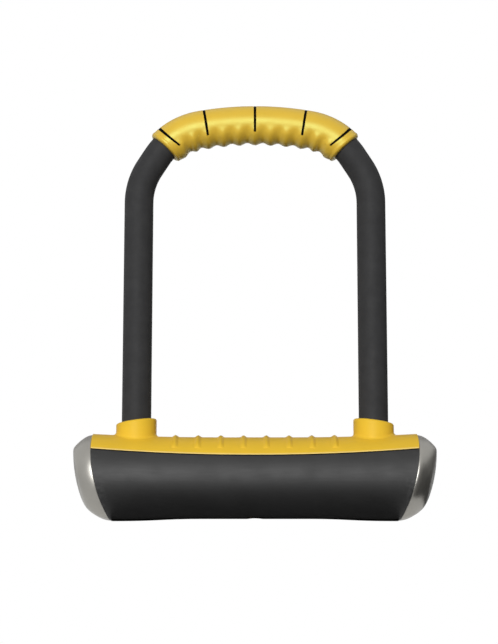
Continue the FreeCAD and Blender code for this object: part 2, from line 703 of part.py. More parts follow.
def right_end_plug():
    plug = bar(TUBE_BORE - SEAT, TUBE_HALF - END_PLUG_LENGTH, TUBE_HALF)
    top = BAR_AXIS_Z + TUBE_RADIUS
    hole = post(PIN_DIA / 2 + RUNNING / 2, top - PIN_LENGTH - SEAT, FAR, end_pin_x())
    return plug.cut(hole)


def end_plug_pins():
    """Roll pins driven down through the tube wall into the end plugs."""
    top = BAR_AXIS_Z + TUBE_RADIUS - SEAT
    return [post(PIN_DIA / 2, top - PIN_LENGTH, top, side * end_pin_x()) for side in (-1, 1)]


def right_leg_seal():
    ring = post(SEAL_RADIUS, SEAL_BOTTOM_Z, SEAL_TOP_Z, LEG_X)
    return ring.cut(post(STEEL_RADIUS + RUNNING, SEAL_BOTTOM_Z, SEAL_TOP_Z, LEG_X))


def right_leg_bumper():
    top = LEG_TIP_Z - REST_GAP
    return post(STEEL_RADIUS - SEAT, top - BUMPER_HEIGHT, top, LEG_X)


def right_bolt_guide():
    """Block that fills half the tube: it guides a bolt, centres a leg and traps the cylinder."""
    inner_x = SEAT / 2
    outer_x = TUBE_HALF - END_PLUG_LENGTH - SEAT
    block = bar(TUBE_BORE - SEAT, inner_x, outer_x)
    z0 = BOLT_BOTTOM_Z - BOLT_CLEARANCE
    z1 = BOLT_TOP_Z + BOLT_CLEARANCE
    narrow = TINE_OUTER_Y + BOLT_CLEARANCE
    wide = RACK_BACK_Y + BOLT_CLEARANCE
    wide_end = SHOULDER_BLOCK_X + SHOULDER_BLOCK + BOLT_TRAVEL + FORK_CLEARANCE
    thrown_end = FORK_TIP_X + BOLT_TRAVEL + FORK_CLEARANCE
    block = block.cut(box(0, thrown_end, -narrow, narrow, z0, z1))
    block = block.cut(box(0, wide_end, -wide, wide, z0, z1))
    leg_floor = LEG_TIP_Z - REST_GAP - BUMPER_HEIGHT
    block = block.cut(post(STEEL_RADIUS + LEG_CLEARANCE, leg_floor, FAR, LEG_X))
    housing_room = post(HOUSING_RADIUS + SEAT, -FAR, HOUSING_TOP_Z + SEAT)
    lock_rib = ring_at(HOUSING_RADIUS - HOUSING_GROOVE_DEPTH + SEAT, TUBE_RADIUS,
                       HOUSING_GROOVE_Z + SEAT, HOUSING_GROOVE_Z + HOUSING_GROOVE_WIDTH - SEAT)
    block = block.cut(housing_room.cut(lock_rib))
    block = block.cut(post(HUB_RADIUS + BOLT_CLEARANCE, HOUSING_TOP_Z, z0))
    return block.cut(post(STUB_RADIUS + RUNNING, BOLT_TOP_Z, z1 + STUB_LENGTH))


def ring_at(inner, outer, z0, z1):
    return post(outer, z0, z1).cut(post(inner, z0, z1))


# ------------------------------------------------------------------ gear and bolts
def involute(angle):
    return math.tan(angle) - angle


def gear_blank():
    """Spur gear with involute flanks; one tooth points to the back and one to the front."""
    pressure = math.radians(PRESSURE_ANGLE)
    base = PITCH_RADIUS * math.cos(pressure)
    root = PITCH_RADIUS - DEDENDUM
    tip = PITCH_RADIUS + ADDENDUM
    pitch_half = math.pi / (2 * GEAR_TEETH) - BACKLASH / (4 * PITCH_RADIUS)

    def flank(radius, centre, side):
        roll = math.acos(min(1.0, base / radius))
        half = pitch_half + involute(pressure) - involute(roll)
        angle = centre + side * half
        return Vector(radius * math.cos(angle), radius * math.sin(angle), 0)

    outline = []
    step = 2 * math.pi / GEAR_TEETH
    for tooth in range(GEAR_TEETH):
        centre = math.pi / 2 + tooth * step
        middle = (base + tip) / 2
        foot_a, foot_b = (flank(base, centre, side) for side in (-1, 1))
        root_a, root_b = (foot * (root / base) for foot in (foot_a, foot_b))
        tip_a, tip_b = (flank(tip, centre, side) for side in (-1, 1))
        crest = Vector(tip * math.cos(centre), tip * math.sin(centre), 0)
        gap_angle = centre + step / 2
        gap = Vector(root * math.cos(gap_angle), root * math.sin(gap_angle), 0)
        next_half = math.atan2(root_b.y, root_b.x) - centre
        next_root = Vector(root * math.cos(centre + step - next_half),
                           root * math.sin(centre + step - next_half), 0)
        outline += [line(root_a, foot_a), arc(foot_a, flank(middle, centre, -1), tip_a),
                    arc(tip_a, crest, tip_b), arc(tip_b, flank(middle, centre, 1), foot_b),
                    line(foot_b, root_b), arc(root_b, gap, next_root)]
    face = Part.Face(Part.Wire(Part.__sortEdges__(outline)))
    face.translate(Vector(0, 0, BOLT_BOTTOM_Z))
    return face.extrude(Vector(0, 0, BOLT_HEIGHT))


def drive_pinion():
    """Gear with a hub that sits in the open top of the plug and a stub that turns in the guides."""
    hub_bottom = STACK_TOP_Z + STACK_GAP
    disc = post(CAVITY_RADIUS - STACK_GAP, hub_bottom, hub_bottom + DRIVE_DISC_THICKNESS)
    hub = post(HUB_RADIUS, hub_bottom, BOLT_BOTTOM_Z)
    stub = post(STUB_RADIUS, BOLT_TOP_Z, BOLT_TOP_Z + STUB_LENGTH)
    return gear_blank().fuse([disc, hub, stub]).removeSplitter()


def rack_tooth(x):
    """One straight-sided tooth that points to the front, towards the gear."""
    lean = math.tan(math.radians(PRESSURE_ANGLE))
    half = GEAR_PITCH / 4 - BACKLASH / 4
    tip_half = half - ADDENDUM * lean
    root_half = half + DEDENDUM * lean
    tip_y = PITCH_RADIUS - ADDENDUM
    return polygon([Vector(x - root_half, RACK_ROOT_Y, BOLT_BOTTOM_Z),
                    Vector(x - tip_half, tip_y, BOLT_BOTTOM_Z),
                    Vector(x + tip_half, tip_y, BOLT_BOTTOM_Z),
                    Vector(x + root_half, RACK_ROOT_Y, BOLT_BOTTOM_Z)]).extrude(Z_AXIS * BOLT_HEIGHT)


def left_bolt():
    """Fork, bar and rack in one piece; its rack runs behind the gear."""
    z0, z1 = BOLT_BOTTOM_Z, BOLT_TOP_Z
    root_x = -(FORK_TIP_X - FORK_DEPTH)
    bolt = box(root_x, -SHOULDER_BLOCK_X, -TINE_OUTER_Y, TINE_OUTER_Y, z0, z1)
    tines = [box(-FORK_TIP_X, root_x, TINE_INNER_Y, TINE_OUTER_Y, z0, z1),
             box(-FORK_TIP_X, root_x, -TINE_OUTER_Y, -TINE_INNER_Y, z0, z1)]
    shoulder = box(-SHOULDER_BLOCK_X - SHOULDER_BLOCK, -SHOULDER_BLOCK_X,
                   -TINE_OUTER_Y, RACK_BACK_Y, z0, z1)
    centres = [(index - RACK_LEAD) * GEAR_PITCH for index in range(RACK_TEETH)]
    spine = box(-SHOULDER_BLOCK_X, centres[-1] + GEAR_PITCH / 2, RACK_ROOT_Y, RACK_BACK_Y, z0, z1)
    teeth = [rack_tooth(x) for x in centres]
    return bolt.fuse(tines + [shoulder, spine] + teeth).removeSplitter()


# ------------------------------------------------------------------ disc cylinder
def keyway(z0, z1):
    return box(-KEYWAY_WIDTH / 2, KEYWAY_WIDTH / 2, -KEYWAY_LENGTH / 2, KEYWAY_LENGTH / 2, z0, z1)


def side_bar_slot(inner, outer, margin, z0, z1):
    """Radial slot for the side bar, on the +X side."""
    half = SIDE_BAR_WIDTH / 2 + margin
    return box(inner, outer, -half, half, z0, z1)


def cylinder_housing():
    bore_z = FACE_Z + PLUG_NOSE_LENGTH - RUNNING
    within_tube = bar(TUBE_RADIUS, -HOUSING_RADIUS, HOUSING_RADIUS)
    housing = post(HOUSING_RADIUS, FACE_Z, HOUSING_TOP_Z).common(within_tube)
    housing = housing.cut(post(PLUG_NOSE_RADIUS + RUNNING, FACE_Z, bore_z))
    housing = housing.cut(post(PLUG_RADIUS + RUNNING, bore_z, HOUSING_TOP_Z))
    ring_z = PLUG_TOP_Z + 2 * RUNNING
    housing = housing.cut(post(RING_OUTER_RADIUS + SEAT, ring_z - STACK_GAP,
                               ring_z + RING_THICKNESS + STACK_GAP))
    groove = ring_at(HOUSING_RADIUS - HOUSING_GROOVE_DEPTH, TUBE_RADIUS,
                     HOUSING_GROOVE_Z, HOUSING_GROOVE_Z + HOUSING_GROOVE_WIDTH)
    housing = housing.cut(groove)
    outer = SIDE_BAR_OUTER + SIDE_BAR_TRAVEL + 2 * RUNNING
    for angle in (0, KEY_TURN):
        slot = side_bar_slot(SIDE_BAR_INNER, outer, 2 * RUNNING, STACK_BOTTOM_Z, STACK_TOP_Z)
        slot.rotate(Vector(0, 0, 0), Z_AXIS, angle)
        housing = housing.cut(slot)
    return housing


def plug():
    core = post(PLUG_RADIUS, FACE_Z + PLUG_NOSE_LENGTH, PLUG_TOP_Z)
    core = core.fuse(post(PLUG_NOSE_RADIUS, FACE_Z, FACE_Z + PLUG_NOSE_LENGTH)).removeSplitter()
    core = core.cut(post(CAVITY_RADIUS, CAVITY_FLOOR_Z, PLUG_TOP_Z))
    core = core.cut(keyway(FACE_Z, CAVITY_FLOOR_Z))
    return core.cut(side_bar_slot(0, FAR, STACK_GAP, STACK_BOTTOM_Z + RUNNING, STACK_TOP_Z - RUNNING))


def anti_drill_plate():
    plate = post(CAVITY_RADIUS - STACK_GAP, CAVITY_FLOOR_Z, STACK_BOTTOM_Z)
    return plate.cut(keyway(CAVITY_FLOOR_Z, STACK_BOTTOM_Z))


def locking_discs():
    """Discs whose gate has one steep and one sloping flank; the slope lifts the side bar."""
    floor = SIDE_BAR_INNER - RUNNING
    half = math.asin((SIDE_BAR_WIDTH / 2) / floor)
    steep = half + math.radians(GATE_EASE)
    past = DISC_RADIUS + DISC_THICKNESS
    ramp_end = half + math.radians(DISC_TURN)

    def at(radius, angle):
        return Vector(radius * math.cos(angle), radius * math.sin(angle), 0)
    flat = at(floor, 0).x - sagitta(floor, SIDE_BAR_WIDTH / 2)
    gate = polygon([Vector(flat, floor * math.sin(steep), 0), Vector(flat, -floor * math.sin(half), 0),
                    at(DISC_RADIUS, -ramp_end), at(past, -ramp_end),
                    Vector(past, floor * math.sin(steep), 0)])
    discs = []
    for index in range(DISC_COUNT):
        z0 = STACK_BOTTOM_Z + STACK_GAP + index * DISC_PITCH
        z1 = z0 + DISC_THICKNESS
        disc = post(DISC_RADIUS, z0, z1).cut(keyway(z0, z1))
        cutter = gate.copy()
        cutter.translate(Z_AXIS * z0)
        discs.append(disc.cut(cutter.extrude(Z_AXIS * DISC_THICKNESS)))
    return discs


def disc_spacers():
    spacers = []
    for index in range(DISC_COUNT - 1):
        z0 = STACK_BOTTOM_Z + index * DISC_PITCH + DISC_THICKNESS + 2 * STACK_GAP
        z1 = z0 + SPACER_THICKNESS
        spacer = ring_at(SPACER_HOLE_RADIUS, CAVITY_RADIUS - STACK_GAP, z0, z1)
        spacers.append(spacer.cut(side_bar_slot(0, FAR, RUNNING, z0, z1)).Solids[0])
    return spacers


def side_bar():
    half = SIDE_BAR_WIDTH / 2
    return box(SIDE_BAR_INNER, SIDE_BAR_OUTER, -half, half,
               STACK_BOTTOM_Z + 2 * RUNNING, STACK_TOP_Z - 2 * RUNNING)


def retaining_ring():
    z0 = PLUG_TOP_Z + 2 * RUNNING
    ring = ring_at(RING_INNER_RADIUS, RING_OUTER_RADIUS, z0, z0 + RING_THICKNESS)
    return ring.cut(box(-RING_GAP_WIDTH / 2, RING_GAP_WIDTH / 2, 0, FAR, z0, z0 + RING_THICKNESS))


# ------------------------------------------------------------------ dust shutter
def shutter_plate(margin, stretch):
    """The sliding plate, or with a margin and a stretch the room that it slides in."""
    x0 = SHUTTER_OFFSET_X - SHUTTER_LENGTH / 2 - margin
    x1 = SHUTTER_OFFSET_X + SHUTTER_LENGTH / 2 + margin + stretch
    half = SHUTTER_WIDTH / 2 + margin
    return box(x0, x1, -half, half, SHUTTER_Z - margin, SHUTTER_Z + SHUTTER_THICKNESS + margin)


def keyhole_shutter():
    nub = box(NUB_X - NUB_LENGTH / 2, NUB_X + NUB_LENGTH / 2, -NUB_WIDTH / 2, NUB_WIDTH / 2,
              SHUTTER_Z - NUB_HEIGHT, SHUTTER_Z)
    return shutter_plate(0, 0).fuse(nub).removeSplitter()


def keyhole_bezel():
    bezel = stadium(BEZEL_LENGTH, BEZEL_WIDTH, BELLY_Z, BEZEL_TOP_Z)
    room = shutter_plate(RUNNING, SHUTTER_TRAVEL)
    x0 = room.BoundBox.XMin
    half = SHUTTER_WIDTH / 2 + RUNNING
    bezel = bezel.cut(box(x0, room.BoundBox.XMax, -half, half, SHUTTER_Z - RUNNING, FAR))
    window_end = NUB_X + NUB_LENGTH / 2 + SHUTTER_TRAVEL + 2 * RUNNING
    window = box(-KEY_WINDOW_HALF, window_end, -KEY_WINDOW_WIDTH / 2, KEY_WINDOW_WIDTH / 2, 0, FAR)
    return bezel.cut(window).cut(thumb_scoop())


# ------------------------------------------------------------------ assembly
def parts():
    form = crossbar_form()
    grip, inlays = shackle_grip_and_inlays()
    cap = right_end_cap(form)
    end_plug = right_end_plug()
    seal = right_leg_seal()
    bumper = right_leg_bumper()
    guide = right_bolt_guide()
    bolt = left_bolt()
    return {
        "shackle_bar": shackle_bar(),
        "shackle_sleeve": shackle_sleeve(),
        "shackle_grip": grip,
        "grip_inlays": inlays,
        "body_shell": body_shell(form),
        "top_cover": top_cover(),
        "right_end_cap": cap,
        "left_end_cap": mirrored(cap),
        "crossbar_tube": crossbar_tube(),
        "right_end_plug": end_plug,
        "left_end_plug": mirrored(end_plug),
        "end_plug_pins": end_plug_pins(),
        "right_leg_seal": seal,
        "left_leg_seal": mirrored(seal),
        "right_leg_bumper": bumper,
        "left_leg_bumper": mirrored(bumper),
        "right_bolt_guide": guide,
        "left_bolt_guide": mirrored(guide),
        "left_bolt": bolt,
        "right_bolt": half_turned(bolt),
        "drive_pinion": drive_pinion(),
        "cylinder_housing": cylinder_housing(),
        "plug": plug(),
        "anti_drill_plate": anti_drill_plate(),
        "locking_discs": locking_discs(),
        "disc_spacers": disc_spacers(),
        "side_bar": side_bar(),
        "retaining_ring": retaining_ring(),
        "keyhole_bezel": keyhole_bezel(),
        "keyhole_shutter": keyhole_shutter(),
    }


def main():
    os.makedirs("parts", exist_ok=True)
    for name, shape in parts().items():
        solids = shape if isinstance(shape, list) else shape.Solids
        result = solids[0] if len(solids) == 1 else Part.makeCompound(solids)
        valid = all(solid.isValid() for solid in solids)
        result.exportStep(os.path.join("parts", name + ".step"))
        print(f"{name:18s} solids {len(solids)}  valid {valid}  volume {result.Volume / 1000:8.3f} cm3")


main()
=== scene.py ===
# %% [markdown]
# # A bicycle U lock, dressed in Blender
#
# The lock is already built and packed as a CAD model: a bent steel shackle in a vinyl coat, a soft
# grip on its crown, and a tubular crossbar with a black lower shell, a yellow top cover and two
# metal end caps. This lesson loads that model as a fixed frame, makes the soft and the rounded
# pieces again with more detail, and gives every surface its finish. The whole script works in
# metres, with X along the crossbar, -Y to the front and Z up.

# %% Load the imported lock
import math

import bmesh
import bpy
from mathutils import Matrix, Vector
from mathutils.bvhtree import BVHTree


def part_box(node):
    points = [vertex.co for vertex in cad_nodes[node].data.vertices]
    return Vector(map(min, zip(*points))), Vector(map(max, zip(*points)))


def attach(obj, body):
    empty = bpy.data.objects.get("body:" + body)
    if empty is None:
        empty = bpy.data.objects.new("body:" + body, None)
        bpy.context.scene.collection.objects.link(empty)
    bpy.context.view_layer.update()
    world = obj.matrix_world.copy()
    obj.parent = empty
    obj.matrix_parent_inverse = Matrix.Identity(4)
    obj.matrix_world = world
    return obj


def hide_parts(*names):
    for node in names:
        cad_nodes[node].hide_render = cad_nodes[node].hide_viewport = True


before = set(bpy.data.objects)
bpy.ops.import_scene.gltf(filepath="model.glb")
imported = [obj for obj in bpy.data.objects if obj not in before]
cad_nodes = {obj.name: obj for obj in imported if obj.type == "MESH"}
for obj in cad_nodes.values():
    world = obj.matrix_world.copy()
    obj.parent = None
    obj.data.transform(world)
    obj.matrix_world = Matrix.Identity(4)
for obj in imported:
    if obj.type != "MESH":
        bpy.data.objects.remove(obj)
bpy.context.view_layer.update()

# %% [markdown]
# ## Camera
#
# A small product is usually shot from a distance with a long lens, so that its verticals stay
# parallel. This camera stands straight in front of the lock, a hand's width under the level of the
# crossbar, and looks up at it by a few degrees. A small shift keeps the crossbar where it should be
# in the frame without turning the camera.

# %% Place the camera
CAMERA_DISTANCE = 0.9382
CAMERA_HEIGHT = -0.0484
CAMERA_TILT = math.radians(9.75)
LENS = 96.7
SHIFT_X, SHIFT_Y = -0.0093, -0.0121

camera_data = bpy.data.cameras.new("front_camera")
camera_data.lens = LENS
camera_data.sensor_width = 36.0
camera_data.shift_x = SHIFT_X
camera_data.shift_y = SHIFT_Y
camera_data.clip_start = 0.01
camera_data.clip_end = 50.0
camera = bpy.data.objects.new("front_camera", camera_data)
camera.location = (0.0, -CAMERA_DISTANCE, CAMERA_HEIGHT)
camera.rotation_euler = (math.pi / 2 + CAMERA_TILT, 0.0, 0.0)
bpy.context.scene.collection.objects.link(camera)
bpy.context.scene.camera = camera
bpy.context.scene.view_settings.view_transform = "Standard"
print("camera at", tuple(camera.location))

# %% [markdown]
# ## Node helpers
#
# Every finish is a small tree of shader nodes. These helpers keep the cells short: one adds a node
# with its values set, one makes a material with an empty tree, and one closes a material with its
# shader and output.

# %% Helpers for shader trees
def add_node(tree, kind, inputs=None, **settings):
    node = tree.nodes.new(kind)
    for key, value in settings.items():
        setattr(node, key, value)
    for key, value in (inputs or {}).items():
        node.inputs[key].default_value = value
    return node


def new_material(name):
    material = bpy.data.materials.new(name)
    material.use_nodes = True
    material.node_tree.nodes.clear()
    return material, material.node_tree


def close_material(tree, shader):
    out = add_node(tree, "ShaderNodeOutputMaterial")
    tree.links.new(shader.outputs[0], out.inputs["Surface"])


# %% [markdown]
# ## World and floor
#
# The studio is plain and pale. What the camera and the mirror-like surfaces see of it is pure
# white. What lights the lock from all round is a softer grey, so the blacks stay black. The
# Light Path node tells the two apart. The floor shows from above only, because the camera looks up
# from below its level, and there it has to be clear.

# %% Helper that tells looks from light
def seen_directly(tree):
    """Factor that is one for rays that look at a surface, and zero for rays that gather light."""
    path = add_node(tree, "ShaderNodeLightPath")
    camera_or_gloss = add_node(tree, "ShaderNodeMath", operation="MAXIMUM")
    seen = add_node(tree, "ShaderNodeMath", operation="MAXIMUM")
    tree.links.new(path.outputs["Is Camera Ray"], camera_or_gloss.inputs[0])
    tree.links.new(path.outputs["Is Glossy Ray"], camera_or_gloss.inputs[1])
    tree.links.new(camera_or_gloss.outputs[0], seen.inputs[0])
    tree.links.new(path.outputs["Is Transmission Ray"], seen.inputs[1])
    return seen


# %% Build the world
AMBIENT = 0.10

world = bpy.data.worlds.new("studio")
world.use_nodes = True
bpy.context.scene.world = world
tree = world.node_tree
tree.nodes.clear()
seen = seen_directly(tree)
soft = add_node(tree, "ShaderNodeBackground", {"Color": (1, 1, 1, 1), "Strength": AMBIENT})
white = add_node(tree, "ShaderNodeBackground", {"Color": (1, 1, 1, 1), "Strength": 1.0})
mix = add_node(tree, "ShaderNodeMixShader")
tree.links.new(seen.outputs[0], mix.inputs["Fac"])
tree.links.new(soft.outputs[0], mix.inputs[1])
tree.links.new(white.outputs[0], mix.inputs[2])
out = add_node(tree, "ShaderNodeOutputWorld")
tree.links.new(mix.outputs[0], out.inputs["Surface"])
print("world light", AMBIENT)

# %% Lay the floor
FLOOR_HALF = 3.0
FLOOR_DROP = 0.0002    # just under the feet, so that no two surfaces share a plane

floor_mesh = bpy.data.meshes.new("studio_floor")
corners = [(sx * FLOOR_HALF, sy * FLOOR_HALF, -FLOOR_DROP)
           for sx, sy in ((-1, -1), (1, -1), (1, 1), (-1, 1))]
floor_mesh.from_pydata(corners, [], [(0, 1, 2, 3)])
floor = bpy.data.objects.new("studio_floor", floor_mesh)
bpy.context.scene.collection.objects.link(floor)
print("floor", 2 * FLOOR_HALF, "m square")

# %% Paint the floor
floor_paint, tree = new_material("floor_paint")
grey = add_node(tree, "ShaderNodeBsdfDiffuse", {"Color": (0.35, 0.35, 0.35, 1)})
pale = add_node(tree, "ShaderNodeBsdfDiffuse", {"Color": (0.8, 0.8, 0.8, 1)})
lift = add_node(tree, "ShaderNodeEmission", {"Color": (1, 1, 1, 1), "Strength": 0.62})
lifted = add_node(tree, "ShaderNodeAddShader")
tree.links.new(pale.outputs[0], lifted.inputs[0])
tree.links.new(lift.outputs[0], lifted.inputs[1])
by_ray = add_node(tree, "ShaderNodeMixShader")
tree.links.new(seen_directly(tree).outputs[0], by_ray.inputs["Fac"])
tree.links.new(grey.outputs[0], by_ray.inputs[1])
tree.links.new(lifted.outputs[0], by_ray.inputs[2])
clear = add_node(tree, "ShaderNodeBsdfTransparent")
side = add_node(tree, "ShaderNodeNewGeometry")
one_sided = add_node(tree, "ShaderNodeMixShader")
tree.links.new(side.outputs["Backfacing"], one_sided.inputs["Fac"])
tree.links.new(by_ray.outputs[0], one_sided.inputs[1])
tree.links.new(clear.outputs[0], one_sided.inputs[2])
close_material(tree, one_sided)
floor_mesh.materials.append(floor_paint)
print("painted", floor_paint.name)

# %% [markdown]
# ## Lights
#
# One wide softbox stands in front and above. Its reflection draws the broad band along the black
# shell and the bright line on each cap, so its height and width decide how these look. A weaker
# one stands low behind the lock. Nothing that faces the front sees it, and it lights the back.
#
# Grey cards stand round the lock as well. Only glossy surfaces see them, so they take no light
# away, and each draws one dark shape in the reflections:
#
# - the front card lies on the floor, and keeps the underside of the crossbar dark;
# - the right card lies beside it and the two side cards stand there, and together they put the
#   dark band on the right cap;
# - the back card stands behind, and darkens the outline of every glossy part.

# %% Set the lamps
LAMP_AIM = Vector((0.0, 0.0, 0.06))


def aimed_from(azimuth, elevation):
    """Direction from the lock's middle to a place in the studio; azimuth 0 is the front."""
    turn, rise = math.radians(azimuth), math.radians(elevation)
    return Vector((math.sin(turn) * math.cos(rise), -math.cos(turn) * math.cos(rise),
                   math.sin(rise)))


def softbox(name, azimuth, elevation, distance, width, height, watts):
    """Area light aimed at the lock, a little above its crossbar."""
    offset = aimed_from(azimuth, elevation)
    data = bpy.data.lights.new(name, "AREA")
    data.shape = "RECTANGLE"
    data.size = width
    data.size_y = height
    data.energy = watts
    lamp = bpy.data.objects.new(name, data)
    lamp.location = LAMP_AIM + offset * distance
    lamp.rotation_euler = offset.to_track_quat("Z", "Y").to_euler()
    bpy.context.scene.collection.objects.link(lamp)
    return lamp


key = softbox("key_softbox", -10, 13.3, 4.0, 2.1, 2.0, 145.0)
fill = softbox("back_softbox", 178, 6.0, 4.0, 2.6, 1.6, 95.0)
print("lamps", [(lamp.name, [round(value, 2) for value in lamp.location]) for lamp in (key, fill)])

# %% Set the cards
CARD_DISTANCE = 0.9
CARD_LEVEL = -0.0001    # between the floor and the feet


def card(name, corners, grey):
    """Flat sheet with these corners; only glossy surfaces see it."""
    data = bpy.data.meshes.new(name)
    data.from_pydata(corners, [], [tuple(range(len(corners)))])
    sheet = bpy.data.objects.new(name, data)
    sheet.visible_camera = False
    sheet.visible_diffuse = False
    sheet.visible_shadow = False
    bpy.context.scene.collection.objects.link(sheet)
    cloth, tree = new_material(name + "_cloth")
    close_material(tree, add_node(tree, "ShaderNodeBsdfDiffuse", {"Color": (grey, grey, grey, 1)}))
    data.materials.append(cloth)
    return sheet


def upright_card(name, from_azimuth, to_azimuth, height, grey):
    """Card that stands on the floor at arm's length, between two directions."""
    start = aimed_from(from_azimuth, 0.0) * CARD_DISTANCE
    end = aimed_from(to_azimuth, 0.0) * CARD_DISTANCE
    lift = Vector((0.0, 0.0, height))
    return card(name, [start, end, end + lift, start + lift], grey)


cards = [
    card("front_card", [(x, y, CARD_LEVEL) for x, y in (
        (-0.077, 0.6), (-0.077, -0.02), (-0.092, -0.09), (-0.33, -1.2),
        (0.33, -1.2), (0.092, -0.09), (0.077, -0.02), (0.077, 0.6))], 0.38),
    card("right_card", [(x, y, CARD_LEVEL) for x, y in (
        (0.086, -0.030), (0.097, -0.09), (0.335, -1.2), (1.2, -1.2), (1.2, 0.2), (0.112, 0.2),
        (0.102, -0.020))], 0.27),
    upright_card("near_side_card", 13.0, 68.0, 0.42, 0.20),
    upright_card("far_side_card", 68.0, 140.0, 0.42, 0.42),
    upright_card("back_card", 140.0, 220.0, 1.2, 0.62),
]
print("cards", [sheet.name for sheet in cards])

# %% [markdown]
# ## Shared effects
#
# Moulded plastic, rubber and plated metal differ in colour, but the same few things happen to all
# of them. A mould or a plating bath leaves a fine grain, the colour drifts a little from place to
# place, hands polish some areas and leave others dull, and edges wear first. Each of these is a
# node group that is built once here. A material places the group and gives it its own numbers.
#
# All groups read Object coordinates, which are metres on this model. A noise scale of 1000 gives
# features about a millimetre wide.

# %% Helper for node groups
def new_group(name, inputs, outputs):
    """Empty group with named sockets; inputs give (name, kind, default), outputs (name, kind)."""
    tree = bpy.data.node_groups.new(name, "ShaderNodeTree")
    for label, kind, default in inputs:
        socket = tree.interface.new_socket(name=label, in_out="INPUT", socket_type=kind)
        socket.default_value = default
    for label, kind in outputs:
        tree.interface.new_socket(name=label, in_out="OUTPUT", socket_type=kind)
    return tree, tree.nodes.new("NodeGroupInput"), tree.nodes.new("NodeGroupOutput")


FLOAT, COLOUR = "NodeSocketFloat", "NodeSocketColor"

# %% [markdown]
# ### Grain
#
# A spark-eroded mould leaves rounded pits, and on top of them comes a finer roughness. The pits
# are a smooth Voronoi texture and the fine part is layered noise. The group gives their sum as a
# height, which a Bump node in the material turns into tilted normals.

# %% Build the grain group
grain, given, result = new_group(
    "surface_grain",
    [("Pit Scale", FLOAT, 900.0), ("Fine Scale", FLOAT, 2500.0), ("Fine Share", FLOAT, 0.5)],
    [("Height", FLOAT)])
place = add_node(grain, "ShaderNodeTexCoord")
pits = add_node(grain, "ShaderNodeTexVoronoi", {"Smoothness": 0.8}, feature="SMOOTH_F1")
fine = add_node(grain, "ShaderNodeTexNoise", {"Detail": 3.0, "Roughness": 0.55})
height = add_node(grain, "ShaderNodeMix", data_type="FLOAT")
for texture, scale in ((pits, "Pit Scale"), (fine, "Fine Scale")):
    grain.links.new(place.outputs["Object"], texture.inputs["Vector"])
    grain.links.new(given.outputs[scale], texture.inputs["Scale"])
grain.links.new(given.outputs["Fine Share"], height.inputs["Factor"])
grain.links.new(pits.outputs["Distance"], height.inputs["A"])
grain.links.new(fine.outputs[0], height.inputs["B"])
grain.links.new(height.outputs["Result"], result.inputs["Height"])
print("group", grain.name)

# %% [markdown]
# ### Tone drift
#
# Pigment is never mixed perfectly and dust settles unevenly, so a real surface is a few percent
# lighter here and darker there. Two sizes of noise, one broad and one fine, shift the brightness
# of the colour that goes through this group.

# %% Build the tone group
tone, given, result = new_group(
    "tone_drift",
    [("Colour", COLOUR, (0.5, 0.5, 0.5, 1)), ("Scale", FLOAT, 60.0), ("Amount", FLOAT, 0.05)],
    [("Colour", COLOUR)])
place = add_node(tone, "ShaderNodeTexCoord")
drift = add_node(tone, "ShaderNodeTexNoise", {"Detail": 5.0, "Roughness": 0.6})
tone.links.new(place.outputs["Object"], drift.inputs["Vector"])
tone.links.new(given.outputs["Scale"], drift.inputs["Scale"])
centred = add_node(tone, "ShaderNodeMapRange",
                   {"From Min": 0.3, "From Max": 0.7, "To Min": -1.0, "To Max": 1.0})
tone.links.new(drift.outputs[0], centred.inputs["Value"])
brightness = add_node(tone, "ShaderNodeMath", {2: 1.0}, operation="MULTIPLY_ADD")
tone.links.new(centred.outputs["Result"], brightness.inputs[0])
tone.links.new(given.outputs["Amount"], brightness.inputs[1])
shifted = add_node(tone, "ShaderNodeHueSaturation")
tone.links.new(given.outputs["Colour"], shifted.inputs["Color"])
tone.links.new(brightness.outputs[0], shifted.inputs["Value"])
tone.links.new(shifted.outputs["Color"], result.inputs["Colour"])
print("group", tone.name)

# %% [markdown]
# ### Handling
#
# Where hands and a mounting bracket rub, a matt surface turns smoother. The group gives a
# roughness that wanders between a polished and a dull value in soft patches, broken up by fine
# scratches that are a stretched noise.

# %% Build the handling group
handling, given, result = new_group(
    "handling_marks",
    [("Polished", FLOAT, 0.3), ("Dull", FLOAT, 0.5), ("Patch Scale", FLOAT, 70.0)],
    [("Roughness", FLOAT)])
place = add_node(handling, "ShaderNodeTexCoord")
patches = add_node(handling, "ShaderNodeTexNoise", {"Detail": 4.0, "Roughness": 0.6})
handling.links.new(place.outputs["Object"], patches.inputs["Vector"])
handling.links.new(given.outputs["Patch Scale"], patches.inputs["Scale"])
along = add_node(handling, "ShaderNodeMapping", {"Scale": (90.0, 900.0, 1400.0)})
along.inputs["Rotation"].default_value = (0.3, 0.5, 0.2)
handling.links.new(place.outputs["Object"], along.inputs["Vector"])
scratches = add_node(handling, "ShaderNodeTexNoise", {"Scale": 1.0, "Detail": 2.0})
handling.links.new(along.outputs[0], scratches.inputs["Vector"])
blend = add_node(handling, "ShaderNodeMix", {"Factor": 0.3}, data_type="FLOAT")
handling.links.new(patches.outputs[0], blend.inputs["A"])
handling.links.new(scratches.outputs[0], blend.inputs["B"])
spread = add_node(handling, "ShaderNodeMapRange", {"From Min": 0.35, "From Max": 0.65})
handling.links.new(blend.outputs["Result"], spread.inputs["Value"])
handling.links.new(given.outputs["Polished"], spread.inputs["To Min"])
handling.links.new(given.outputs["Dull"], spread.inputs["To Max"])
handling.links.new(spread.outputs["Result"], result.inputs["Roughness"])
print("group", handling.name)

# %% [markdown]
# ### Edge wear
#
# Corners touch the world first. The Pointiness value of the Geometry node is above one half where
# the mesh bends outwards, so a narrow range of it picks out the edges. Noise breaks the line up,
# because wear is never even.

